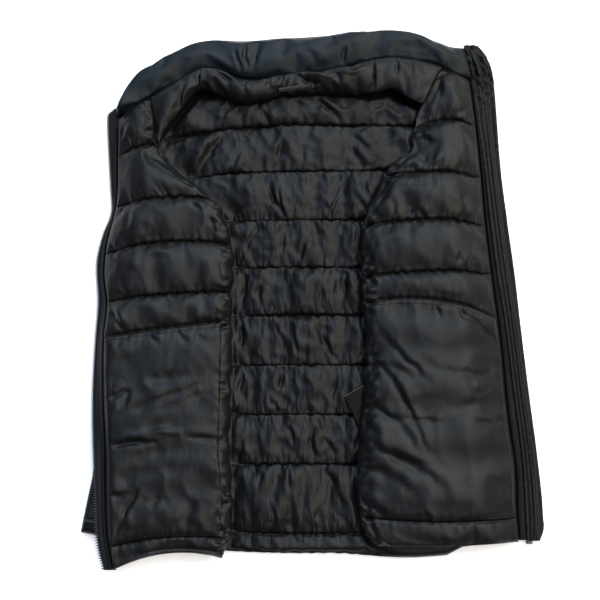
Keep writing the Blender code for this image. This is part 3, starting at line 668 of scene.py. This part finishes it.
def make_front(side, rows, zip_edge, fold, seed, slack, bend, creases):
    """A front and its stitches. Gives what its bag needs: the top, its plan before the cloth
    settled, the rows and the distances from zip and fold."""
    top, bottom, v, s, width = front_grid(rows, zip_edge, fold, seed, slack, bend)
    inner = width - s
    x, y = top[..., 0].copy(), top[..., 1].copy()
    bagged = (v >= HEM_LINE) & (v <= MOUTH) & (s > 2.5) & (inner > 13)
    held = (np.abs(v - np.round(v)) < 1e-9) | bagged | (s < 5) | (inner < 1.5)
    held[[0, 1, -2, -1]] = True
    top = settled(top, held, excess=0.035, swell=4.0, cap=5.0,
                  lively=0.6 * patches(x, y, seed + 5, 0.12))
    body = ease(s / 8) * ease(inner / 5) * turned(np.minimum(y - y[0], y[-1] - y), 7)
    sewn_through = (v < HEM_LINE + 0.5) | (v > MOUTH - 0.01)
    top[..., 2] -= 1.8 * gathers(x, y, seed + 3) * (1.05 - puffs(v)) * body * sewn_through
    top[..., 2] += 0.8 * facets(x, y, seed + 8, 22, 64) * puffs(v) * body * sewn_through
    side_strip = np.exp(-((inner - 8) / 7) ** 2) * body * (v > 0.4)
    top[..., 2] += (1.7 * ripples(y, x, seed + 9, 0.6, 8, 15)
                    - 2.2 * gathers(y, x, seed + 4, 0.6)) * side_strip
    top = creased(top, creases, 0.3 + 0.7 * puffs(v))
    top[..., 2] -= sunk(v, 3.0) * body * sewn_through
    top[..., 2] = np.maximum(top[..., 2], bottom[..., 2] + 1.0 * (body > 0))
    order = ORDER[side]
    stuffed(side + "_front_quilt", side + "_front", top[order], bottom[order], (lining, shell))
    lines = [int(np.argmin(np.abs(v[:, 0] - k))) for k in (1, 6, 7, 8, 9)]
    stitched(side + "_front_stitches", [top[k, 5:-3] for k in lines])
    return top, x, y, v, s, inner


def make_bag(side, front, seed, margins, creases):
    """The bag over a front: a copy of the front's top between the hem line and the mouth and
    inside the margins from zip and fold, with a turned hem along the mouth, loose folds where
    it hangs free and gathers along its two sewn ends."""
    top, x, y, v, s, inner = front
    cols = np.flatnonzero((s[60] > margins[0]) & (inner[60] > margins[1]))
    cut = np.s_[np.flatnonzero((v[:, 0] >= HEM_LINE - 1e-9) & (v[:, 0] <= MOUTH + 1e-9)),
                cols[0]:cols[-1] + 1]
    under = top[cut] + (0, 0, BAG_GAP)
    x, y, inner, s = x[cut], y[cut], inner[cut], s[cut]
    from_mouth = y[-1:] - y
    free = ease(from_mouth / 10) * ease((y - y[:1]) / 10) * ease(inner / 14) * ease(s / 8)
    over = under + (0, 0, BAG_WALL)
    # The hem is a double layer, drawn in along its second seam.
    over[..., 2] += 0.9 * ease((9 - from_mouth) / 2) * ease(from_mouth)
    over[..., 2] -= 0.7 * np.exp(-((from_mouth - BAG_SEAMS[1]) / 0.9) ** 2)
    over[..., 2] += 1.1 * (ripples(0.5 * x, y, seed + 1, 1.2, 18, 70) + 1.6) * free
    over[..., 2] += 0.9 * (facets(x, y, seed + 10, 20, 75) + 1) * free
    over[..., 2] += 0.9 * (1.2 - gathers(x, y, seed + 2, 0.2)) * (
        ease(from_mouth / 2) * np.exp(-((from_mouth - 7) / 9) ** 2)
        + ease((y - y[:1]) / 3) * np.exp(-((y - y[:1] - 4) / 6) ** 2))
    over = creased(over, creases, 0.8)
    over[..., 2] = np.maximum(over[..., 2], under[..., 2] + 0.5)
    order = ORDER[side]
    laid(side + "_pocket_lining", side + "_pocket_bag", over[order], under[order], lining)
    at = [int(np.argmin(np.abs(from_mouth.mean(axis=1) - gap))) for gap in BAG_SEAMS]
    stitched(side + "_bag_stitches", [over[k] for k in at])


left = make_front("left", LEFT_ROWS, LEFT_ZIP, LEFT_FOLD, 21, (3.0, 0.5), 15, [
    (3.0, 2.4, -219, 230, -226, 218, -228, 207), (2.2, 2.6, -217, 210, -214, 208, -210, 207),
    (2.6, 2.6, -184, 256, -180, 234, -179, 211), (4.0, 2.6, -228, -24, -220, -37, -213, -48),
    (2.4, 2.0, -236, 66, -231, 61, -225, 57), (2.2, 2.0, -230, -20, -226, -25, -221, -30),
    (1.6, 4.0, -184, 39, -171, 44, -159, 39), (1.8, 3.0, -220, 39, -208, 29, -195, 26),
    (1.8, 3.0, -136, 119, -129, 108, -116, 103), (3.0, 2.6, -169, 187, -162, 179, -153, 174),
    (1.6, 3.0, -117, 98, -110, 90, -102, 77), (1.8, 3.5, -223, 112, -213, 99, -215, 82),
    (1.8, 3.0, -224, 6, -215, 1, -209, -9), (1.8, 2.6, -106, 39, -99, 26, -94, 14),
])
make_bag("left", left, 21, (1.5, 11), [
    (3.6, 3.4, -230, -123, -216, -126, -199, -117),
    (2.6, 2.6, -217, -146, -209, -133, -199, -119),
    (2.6, 6.0, -181, -111, -161, -105, -112, -102),
    (3.4, 4.0, -222, -155, -178, -136, -104, -108),
    (3.0, 4.0, -182, -150, -142, -136, -100, -117),
    (2.4, 3.0, -144, -148, -128, -140, -112, -128),
    (5.0, 3.2, -226, -185, -198, -182, -165, -182),
    (-3.2, 3.0, -189, -171, -163, -170, -138, -170),
    (3.0, 2.8, -138, -174, -111, -177, -91, -177), (2.8, 7.0, -183, -162, -154, -157, -123, -161),
    (3.2, 8.0, -217, -207, -176, -197, -138, -182),
    (3.6, 7.0, -210, -228, -189, -218, -110, -212),
    (4.0, 2.4, -187, -233, -201, -258, -217, -292),
    (3.4, 3.0, -225, -232, -215, -244, -197, -239),
    (2.4, 4.0, -163, -244, -169, -250, -177, -257),
    (3.0, 6.0, -121, -244, -130, -261, -135, -276),
    (3.0, 2.4, -92, -244, -96, -253, -103, -261), (3.0, 2.4, -179, -52, -174, -57, -167, -62),
    (3.0, 2.4, -149, -46, -141, -56, -132, -64), (2.2, 2.6, -124, -53, -114, -58, -103, -61),
    (2.6, 3.4, -224, -71, -216, -61, -205, -56), (2.2, 5.0, -225, -92, -215, -85, -180, -73),
])
right = make_front("right", RIGHT_ROWS, RIGHT_ZIP, RIGHT_FOLD, 31, (0.0, 7.0), 28, [
    (3.4, 2.6, 142, 194, 159, 204, 167, 194), (2.6, 2.0, 167, 160, 174, 167, 180, 174),
    (3.0, 2.6, 140, 182, 155, 182, 155, 163), (2.6, 2.2, 130, 155, 140, 164, 147, 154),
    (2.8, 1.8, 147, 107, 150, 102, 152, 98), (2.6, 1.8, 136, 98, 137, 103, 140, 107),
    (2.2, 2.4, 191, 39, 196, 44, 200, 49), (2.2, 2.4, 205, 34, 211, 41, 216, 47),
    (2.4, 3.0, 129, 234, 134, 222, 139, 210), (2.2, 2.4, 81, 52, 86, 44, 91, 39),
    (2.2, 2.4, 82, 24, 88, 16, 93, 9), (1.6, 3.5, 124, 132, 143, 139, 162, 135),
    (1.6, 4.0, 182, 119, 192, 111, 195, 100), (2.0, 3.0, 109, 124, 116, 111, 112, 95),
    (2.0, 2.6, 216, 252, 205, 241, 196, 235), (2.6, 3.0, 179, 295, 180, 279, 180, 262),
])
make_bag("right", right, 31, (1.2, 2.2), [
    (3.0, 2.8, 92, -42, 120, -76, 158, -114), (4.4, 3.0, 90, -80, 121, -128, 150, -199),
    (3.6, 2.8, 193, -24, 213, -37, 244, -64), (2.4, 5.0, 102, -85, 120, -97, 147, -107),
    (2.8, 5.0, 153, -92, 204, -101, 234, -98), (3.4, 4.0, 200, -112, 214, -121, 229, -108),
    (2.2, 6.0, 180, -148, 202, -138, 226, -134), (3.4, 3.0, 206, -155, 225, -157, 248, -151),
    (2.6, 3.0, 110, -153, 137, -156, 182, -158), (3.8, 5.0, 77, -177, 106, -196, 159, -212),
    (3.8, 5.0, 100, -197, 136, -213, 175, -242), (3.6, 5.0, 74, -210, 105, -222, 141, -247),
    (2.6, 3.5, 72, -228, 84, -234, 99, -239), (2.6, 3.5, 73, -250, 86, -257, 99, -266),
    (2.4, 5.0, 217, -224, 234, -229, 248, -240), (3.0, 2.2, 164, -17, 167, -24, 171, -29),
    (3.0, 2.4, 192, -17, 195, -26, 202, -32), (2.2, 5.0, 118, -155, 130, -178, 139, -197),
    (2.4, 4.0, 240, -76, 245, -89, 248, -107), (4.0, 2.6, 143, -258, 148, -275, 150, -290),
    (2.2, 4.0, 76, -160, 85, -166, 94, -178), (3.2, 4.0, 80, -136, 102, -148, 130, -168),
])


# ---- Collar ----------------------------------------------------------------------------------
# A stand collar about 55 mm high, stuffed, with the lining's smooth side up. It is laid out flat
# in a bow above the neck seam; its own zip end on the left is turned under.

# The same taffeta on the collar is a shade bluer and keeps a clean gloss.
collar_lining = cloth_finish("collar_taffeta", "#0a1014", "#0d141a", 0.37, 0.35, (0.9, 0.01),
                             level=0.12)
POSTS = np.arange(len(NECK["crown"]))       # the rows of the neck's table
POST = 24                                   # from one to the next, about


def neck_band(first, last, count, parts, border):
    """Plan grid of a band from the neck seam to the border, between two posts, and how wide
    the band is at each column."""
    at = np.linspace(first, last, count)[None, :]
    a = [smooth(POSTS, NECK["seam" + k], at) for k in ("_x", "_y")]
    b = [smooth(POSTS, NECK[border + k], at) for k in ("_x", "_y")]
    x, y = (p + (q - p) * parts[:, None] for p, q in zip(a, b))
    return x, y, at, np.hypot(b[0] - a[0], b[1] - a[1])


parts = np.sin(np.linspace(0, np.pi / 2, 40)) ** 2
x, y, at, high = neck_band(0, POSTS[-1], 260, parts, "outer")
x = x + 6 * ease(at - 16)
y = y + 0.3 * (1 - parts[:, None])
t = parts[:, None] + 0 * x
from_tip = (POSTS[-1] - at) * POST
# Both ends are rounded off, and the right one is pressed thinner over its last 45 mm.
tips = turned(np.minimum(at * POST, from_tip), 9) * (0.45 + 0.55 * ease(from_tip / 45))
crown = 25.5 + 0.5 * ripples(x, y, 41, 0.3, 18, 70)
dome = crown - 6.5 * np.clip((t - 0.5) / 0.5, 0, 1) ** 1.3
foot = 16.5 + 5 * ease((at - 11) / 2)       # the seam is higher on the right
top = np.where(t < 0.5, foot + (crown - foot) * (1 - (1 - t / 0.5) ** 2),
               11 + (dome - 11) * turned(1 - t, 0.14))
groove = 2.6 * np.exp(-(t * high / 1.8) ** 2)
top = EDGE_MIDDLE + (top - groove - EDGE_MIDDLE) * tips
bottom = EDGE_MIDDLE - EDGE_MIDDLE * turned(np.minimum(t + 0.02, 1 - t), 0.1) * tips
held = (t < 0.03) | (t > 0.985) | (tips < 0.4)
points = settled(np.stack([x, y, top], axis=-1), held, excess=0.012, swell=3.0, cap=3.0,
                 lively=0.7)
points = creased(points, [
    (2.8, 2.6, -86, 330, -80, 313, -76, 295), (3.2, 2.2, -74, 341, -71, 319, -69, 297),
    (2.6, 2.2, 40, 348, 43, 340, 43, 333), (2.2, 2.2, 56, 334, 57, 323, 54, 312),
    (2.6, 2.4, -51, 343, -57, 322, -64, 299), (1.2, 6.0, -194, 300, -168, 310, -142, 313),
    (1.2, 6.0, 130, 327, 156, 333, 182, 330), (1.4, 5.0, 0, 330, 13, 320, 21, 305)])
stuffed("collar_band", "collar", points, np.stack([x, y, bottom], axis=-1),
        (collar_lining, shell))


# ---- Neck roll and shoulders -----------------------------------------------------------------
# Below the collar seam the top of the back and the two shoulders roll forward into a soft lip
# that overhangs the back. Their lining is crumpled; the shoulder seams part the three pieces.
def roll(name, node, first, last, seed, excess, lift, creases):
    """A pad from lip to seam with its crown near the seam; its underside drops at the seam and
    rises to the lip by the lift, 8 at both ends."""
    parts = 1 - np.linspace(0, 1, 30) ** 1.3
    x, y, at, deep = neck_band(first, last, int((last - first) * 20), parts, "lip")
    crown = smooth(POSTS, NECK["crown"], at) - 1.5
    t = parts[:, None] + 0 * x
    from_end = np.minimum(at - first, last - at)
    lift = 8 + (lift - 8) * ease(from_end / 1.3)
    top = np.where(t < 0.45, 20 + (crown - 20) * turned(t, 0.45),
                   19 + lift + (crown - 19 - lift) * turned(1 - t, 0.55))
    top = 21 + (top + 0.5 * ripples(x, y, seed, 0.5, 8, 30) * turned(t, 0.4) - 21) * (
        0.35 + 0.65 * turned(from_end * POST, 5))
    groove = 2.8 * np.exp(-(t * deep / 1.6) ** 2)
    top = np.maximum(top, 19.3) - groove
    bottom = 18.3 + lift * ease((t - 0.6) / 0.4) - 9 * ease((0.35 - t) / 0.2)
    held = (t < 0.03) | (t > 0.99) | (from_end < 0.03)
    points = settled(np.stack([x, y, top], axis=-1), held, excess, swell=4.0, cap=5.0,
                     lively=0.6)
    points = creased(points, creases)
    bottom = np.stack([x, y, np.minimum(bottom, points[..., 2] - 1)], axis=-1)
    stuffed(name, node, points, bottom, (lining, shell))


roll("left_shoulder_roll", "left_shoulder", 1.7, 5.08, 51, 0.012, 8, [
    (2.6, 3.0, -153, 288, -149, 268, -161, 238), (2.4, 2.6, -132, 292, -126, 284, -122, 276)])
roll("back_neck_roll", "neck_roll", 4.92, 12.08, 52, 0.06, 0.8, [
    (3.0, 2.4, -112, 298, -98, 284, -84, 276), (2.4, 2.2, -66, 286, -72, 272, -66, 262),
    (3.4, 2.8, -8, 290, 8, 280, 30, 276), (-2.6, 3.0, 0, 292, 20, 287, 46, 285),
    (2.6, 2.6, 40, 298, 60, 296, 92, 303), (-2.4, 2.6, 34, 292, 60, 290, 100, 298),
    (2.6, 2.0, 104, 316, 106, 300, 112, 284), (2.2, 2.0, 98, 310, 99, 296, 103, 282),
    (2.2, 2.2, -44, 288, -40, 278, -46, 268), (2.0, 2.2, -24, 288, -22, 280, -30, 272)])
roll("right_shoulder_roll", "right_shoulder", 11.92, 15.4, 53, 0.015, 8, [
    (2.2, 4.0, 138, 312, 142, 300, 140, 286), (2.0, 2.4, 120, 314, 124, 300, 122, 284)])


# ---- Zip, left side --------------------------------------------------------------------------
# Half of an open-end zip: a woven tape sewn to the front's edge and a row of small moulded
# teeth along its outer edge.
LEFT_TEETH = table("y x z", [
    (-325, -227, 28.5), (-306, -233, 28.5), (-292, -236, 28.5), (-250, -240, 28.5),
    (-204, -243.5, 28.5), (-188, -245, 27), (-125, -250, 18), (-51, -251, 10), (-6, -250, 8),
    (54, -254, 4), (85, -248, 3), (112, -239, 3), (143, -241, 2), (186, -245, 1),
    (234, -249, 0.4)])
# Polyester twill tape, matt, in ribs about 0.8 mm apart.
tape_cloth = cloth_finish("zip_tape_twill", "#0b0c0e", "#0e0f11", 0.62, 0.3, (0.8, 0.16),
                          level=0.13)
# Moulded acetal teeth, smooth, with a small hard glint each; their grey is lighter than the
# tape's as a painted highlight that stands in for those glints.
acetal_painted_glint = cloth_finish("moulded_teeth", "#1b1c1e", "#26272a", 0.28, 0.05, (0.5, 0.005),
                      level=0.45)
TOOTH = ((-1, 0.6), (-0.8, 0.95), (0.45, 0.95), (0.7, 0.6), (1, 0.75))


def zip_teeth(side, run, spacing, half):
    """A row of teeth that lie across the run, each with a neck and a head at its end."""
    spots, ways = sewn(run, spacing, 0.0)
    across = np.cross(ways, (0, 0, 1))
    teeth = repeated(side + "_teeth", spots, across / np.linalg.norm(across, axis=1)[:, None],
                     half, TOOTH, acetal_painted_glint)
    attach(teeth, "root")
    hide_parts(side + "_zip_teeth")


# The tape runs from the teeth to the front's edge, with a ridge and a groove beside the seam;
# its top end is turned under at the collar.
y = np.linspace(-327, 255, 246)[:, None]
edge = smooth(LEFT_ZIP["y"], LEFT_ZIP["x"], y) + 2.5 + 9 * ease((y - 226) / 10)
z_edge = np.interp(y, LEFT_ROWS["y_zip"], LEFT_ROWS["z_zip"]) + 1.2
outer = smooth(LEFT_TEETH["y"], LEFT_TEETH["x"], y) + 8 * ease((y - 246) / 9)
z_outer = smooth(LEFT_TEETH["y"], LEFT_TEETH["z"], y) + 1.9
t = np.linspace(0, 1, 28)
x = outer + (edge - outer) * t
away = edge - 2.5 - x
z = (z_outer + (z_edge - z_outer) * ease(t * 1.1) + 0.8 * ease(t * 3) * ease(3 - 3.6 * t)
     + 2.6 * np.exp(-((away - 3.6) / 1.5) ** 2) - 2.0 * np.exp(-((away - 0.8) / 1.1) ** 2))
grid = np.stack([x, y + 0 * t, np.maximum(z, 1.2)], axis=-1)
laid("left_zip_twill", "left_zip_tape", grid, grid - (0, 0, 1.0), tape_cloth)
run = np.concatenate([outer - 0.2, y, z_outer - 0.4], axis=1)[::-1]
zip_teeth("left", run, 3.0, (1.9, 0.85, 1.3))


# ---- Zip and wind flap, right side -----------------------------------------------------------
# The other half of the zip lies under a wind flap: two layers of dull cloth topstitched in
# close rows. Its box end shows below the flap at the hem.
FLAP = table("y inner outer", [
    (-294, 268.5, 284), (-284, 268, 289), (-262, 268, 290), (-201, 267, 287), (-116, 260, 280),
    (-22, 252.5, 273), (24, 247, 270), (103, 240, 263), (174, 235, 257.5), (238, 229, 255.5),
    (285, 224.5, 254), (301, 223, 253), (316, 220.5, 249.5), (330, 217, 243), (340, 214, 235)])
# This tape lies flat, with the same ridge and groove, and ends under the flap, just past its
# teeth.
y = np.linspace(-293, 303, 246)[:, None]
edge = smooth(RIGHT_ZIP["y"], RIGHT_ZIP["x"], y)
inner = smooth(FLAP["y"], FLAP["inner"], y)
t = np.linspace(0, 1, 40)
x = edge - 5 + (inner + 13 - edge) * t
away = x - edge
z = (6.1 + 3.2 * np.exp(-((away - 3.8) / 1.6) ** 2) * ease((away - 0.5) / 2)
     - 1.4 * np.exp(-((away - 0.9) / 0.9) ** 2))
grid = np.stack([x, y + 0 * t, z], axis=-1)
laid("right_zip_twill", "right_zip_tape", grid, grid - (0, 0, 1.2), tape_cloth)
run = np.concatenate([inner + 5.5, y, 3.0 + 0 * y], axis=1)
zip_teeth("right", run[8:], 2.6, (2.0, 0.95, 1.35))
# The retainer box keeps its plain solid and takes the teeth's acetal, whose lighter grey is a
# painted highlight.
for slot in bpy.data.objects["zip_box"].material_slots:
    slot.material = acetal_painted_glint

# Matt cotton-touch polyester, dark grey, with a plain weave that shows at arm's length.
flap_cloth = cloth_finish("wind_flap_cloth", "#0b0b0b", "#100f0f", 0.58, 1.1, (0.9, 0.14))
TOPSTITCHED = (0.2, 0.42, 0.62, 0.82)       # the four rows, in parts of the flap's width
y = np.linspace(-294, 340, 330)[:, None]
inner, outer = (smooth(FLAP["y"], FLAP[k], y) for k in ("inner", "outer"))
t = np.linspace(0, 1, 44)
wide = outer - inner
x = inner + wide * t
loose = ease((y - 262) / 30)                # the top end, beyond the front
# The flap is 9.3 mm high over the tape and slopes down past it; each row of stitches draws a
# groove, with 3.6 mm ribs across between the rows, and the loose end crumples.
z = 9.3 - (1 - turned(wide * t, 1.6)) - 5.6 * ease((wide * t - 11) / 10)
groove = sum(np.exp(-((t - k) * 20 / 0.9) ** 2) for k in TOPSTITCHED)
rough = ripples(x, y, 61, 1.4, 3, 10)
ribs = np.cos(2 * np.pi * (y + 0.4 * rough) / 3.6) * (1 - groove / groove.max())
z = z - 1.5 * groove * (1 + 0.3 * rough) + 0.42 * rough * (0.7 + 1.1 * loose) + 0.4 * ribs
z = z - (1 - turned(wide * (1 - t), 1.8))
z = z + 4.5 * ease((y - 290) / 14) * (1 - ease(wide * t / 20))
z = z + 1.2 * loose * ripples(x, y, 62, 1.5, 5, 14) * turned(t * (1 - t), 0.1)
points = np.stack([x, y + (4.5 * t - 1.5) * ease((y - 300) / 40), z], axis=-1)
points = creased(points, [
    (2.4, 1.4, 217, 334, 224, 318, 229, 300), (2.2, 1.4, 226, 338, 234, 320, 240, 302),
    (2.2, 1.2, 220, 314, 230, 300, 238, 290), (2.2, 1.4, 234, 330, 242, 314, 248, 296),
    (2.0, 1.4, 222, 296, 233, 284, 245, 272), (2.0, 1.2, 240, 322, 230, 312, 220, 306),
    (2.0, 1.2, 246, 304, 235, 294, 224, 289), (1.8, 1.2, 249, 288, 240, 279, 227, 274),
    (1.6, 1.2, 222, 276, 234, 263, 247, 256), (1.4, 1.2, 250, 268, 240, 259, 230, 254)])
points[..., 2] = np.maximum(points[..., 2], 1.6)
below = points - (0, 0, 2.4)
below[..., 2] = np.maximum(below[..., 2], 0.2)
laid("wind_flap", "placket", points, below, flap_cloth)
stitched("flap_stitches", [points[:, int(k * 43)] for k in TOPSTITCHED],
         (1.1, 0.32, 0.28))


# ---- Labels ----------------------------------------------------------------------------------
# A care label of black satin, left bare, comes out from under the right front, where it is
# sewn in; a small grey woven label, bare too, lies folded double on the neck roll's lip.

# Polyester satin: the darkest piece, very smooth, with only a faint soft gloss.
satin = cloth_finish("black_satin", "#060606", "#090909", 0.3, 0.1, (0.6, 0.03), level=0.05)
corner, along, over = np.array((53.5, -124.0)), np.array((24.0, 13.5)), np.array((17.0, -36.0))
s, t = np.meshgrid(np.linspace(0, 1, 30), np.linspace(0, 1, 40))
plan = corner + along * s[..., None] + over * t[..., None]
limit = smooth(RIGHT_FOLD["y"], RIGHT_FOLD["x"], plan[..., 1]) + 1.5
plan[..., 0] = np.minimum(plan[..., 0], limit)
z = 18.6 + 0.5 * np.sin(3 * s + 4 * t) - 1.6 * ease((t - 0.35) / 0.65)
grid = np.stack([plan[..., 0], plan[..., 1], z], axis=-1)[::-1]
laid("care_label_satin", "care_label", grid, grid - (0, 0, 0.4), satin)
# Grey overlock thread along its upper edge, pale and dull; its pale grey is partly the thread's
# own and partly a painted highlight, the thin light line along the edge.
thread_and_painted_edge_highlight = cloth_finish("grey_thread_painted_highlight", "#4c4c4b", "#6a6a68", 0.5, 0.05, (0.3, 0.02))
stitches = repeated("label_edge", *sewn(grid[-1], 1.5, 0.3), (0.75, 0.3, 0.25), STITCH,
                    thread_and_painted_edge_highlight)
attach(stitches, "root")

# Damask-woven polyester, dark grey: a fine grain with a slight sheen.
woven = cloth_finish("woven_label", "#2a2a29", "#3a3a38", 0.45, 0.1, (0.6, 0.05), sheen=0.1)
s, t = np.meshgrid(np.linspace(0, 1, 28), np.linspace(0, 1, 8))
x = -27 + 28 * s
y = np.interp(x, NECK["lip_x"][8:10], NECK["lip_y"][8:10]) + 4.8 - 3.0 + 2.3 * s + 3.8 * t
grid = np.stack([x, y, 29.5 + 6.0 * turned(t, 1.1)], axis=-1)
laid("neck_label_woven", "neck_label", grid, grid - (0, 0, 0.5), woven)


# ---- Floor, light and camera -----------------------------------------------------------------
# A plain pale floor under a broad soft sky, brightest overhead, with more light from the right
# than from the left, a low pale window beyond the collar and one weak square lamp at the
# collar's left. The camera looks down from the hem's side, 13 degrees off the upright.

# Matt white paint, lifted a little so that it stays pale under the soft light.
floor_finish = bpy.data.materials.new("pale_floor")
floor_finish.use_nodes = True
paint = floor_finish.node_tree.nodes["Principled BSDF"]
paint.inputs["Base Color"].default_value = colour("#f4f4f4")
paint.inputs["Roughness"].default_value = 0.9
paint.inputs["Emission Color"].default_value = colour("#ffffff")
paint.inputs["Emission Strength"].default_value = 0.3
REACH, LEVEL = 6, -0.0006           # metres: just below the vest, which lies at 0
mesh = bpy.data.meshes.new("floor")
mesh.from_pydata([(REACH * i, REACH * k, LEVEL)
                  for i, k in ((-1, -1), (1, -1), (1, 1), (-1, 1))], [], [(0, 1, 2, 3)])
mesh.materials.append(floor_finish)
floor = bpy.data.objects.new("floor", mesh)
bpy.context.scene.collection.objects.link(floor)

lamp = bpy.data.lights.new("key", "AREA")
lamp.shape, lamp.size, lamp.energy, lamp.color = "SQUARE", 1.0, 5, (0.9, 0.96, 1.0)
key = bpy.data.objects.new("key", lamp)
key.location = (-0.5, 1.2, 1.6)
key.rotation_euler = (-Vector(key.location)).to_track_quat("-Z", "Y").to_euler()
bpy.context.scene.collection.objects.link(key)

world = bpy.data.worlds.new("studio")
world.use_nodes = True
tree = world.node_tree
tree.nodes.clear()
way = add_node(tree, "ShaderNodeTexCoord").outputs["Generated"]
# Strength: brightest where the direction is near a point overhead, towards the collar.
facing = add_node(tree, "ShaderNodeVectorMath", {"operation": "DOT_PRODUCT"},
                  {0: way, 1: (0.17, 0.32, 0.93)})
overhead = add_node(tree, "ShaderNodeMapRange", {"interpolation_type": "SMOOTHSTEP"},
                    {"Value": facing.outputs["Value"], "From Min": 0.45, "From Max": 0.99,
                     "To Min": 0.10, "To Max": 1.85})
# Tint: dim and blue on the left, bright and warm on the right.
across = add_node(tree, "ShaderNodeSeparateXYZ", None, {"Vector": way})
side = add_node(tree, "ShaderNodeMapRange", None,
                {"Value": across.outputs["X"], "From Min": -0.16, "From Max": 0.25})
tint = add_node(tree, "ShaderNodeMix", {"data_type": "RGBA"},
                {"Factor": side.outputs["Result"], "A": (0.49, 0.70, 1.13, 1),
                 "B": (3.35, 3.14, 2.84, 1)})
# Cast: a little warmer and dimmer from the hem's side, cooler from the collar's.
along = add_node(tree, "ShaderNodeMapRange", None,
                 {"Value": across.outputs["Y"], "From Min": -0.05, "From Max": 0.55})
cast = add_node(tree, "ShaderNodeMix", {"data_type": "RGBA"},
                {"Factor": along.outputs["Result"], "A": (0.76, 0.73, 0.68, 1),
                 "B": (0.93, 1.01, 1.07, 1)})
both = add_node(tree, "ShaderNodeMix", {"data_type": "RGBA", "blend_type": "MULTIPLY"},
                {"Factor": 1.0, "A": tint.outputs["Result"], "B": cast.outputs["Result"]})
sky = add_node(tree, "ShaderNodeBackground", None,
               {"Color": both.outputs["Result"], "Strength": overhead.outputs["Result"]})
# The window: a pale blue patch low beyond the collar.
low = add_node(tree, "ShaderNodeVectorMath", {"operation": "DOT_PRODUCT"},
               {0: way, 1: (-0.10, 0.80, 0.59)})
window = add_node(tree, "ShaderNodeMapRange", {"interpolation_type": "SMOOTHSTEP"},
                  {"Value": low.outputs["Value"], "From Min": 0.76, "From Max": 1.0,
                   "To Min": 0.0, "To Max": 1.2})
pane = add_node(tree, "ShaderNodeBackground", None,
                {"Color": (0.70, 0.95, 1.10, 1), "Strength": window.outputs["Result"]})
total = add_node(tree, "ShaderNodeAddShader", None,
                 {0: sky.outputs["Background"], 1: pane.outputs["Background"]})
add_node(tree, "ShaderNodeOutputWorld", None, {"Surface": total.outputs["Shader"]})
bpy.context.scene.world = world
bpy.context.scene.view_settings.view_transform = "Standard"

DISTANCE, TILT = 1.35, np.radians(13)       # metres from the pattern's zero, and the lean
target = ZERO * MM
lens = bpy.data.cameras.new("camera")
lens.lens, lens.sensor_width = 64.8, 36     # millimetres
camera = bpy.data.objects.new("camera", lens)
camera.location = (target[0], target[1] - DISTANCE * np.sin(TILT), DISTANCE * np.cos(TILT))
camera.rotation_euler = (TILT, 0, 0)
bpy.context.scene.collection.objects.link(camera)
bpy.context.scene.camera = camera
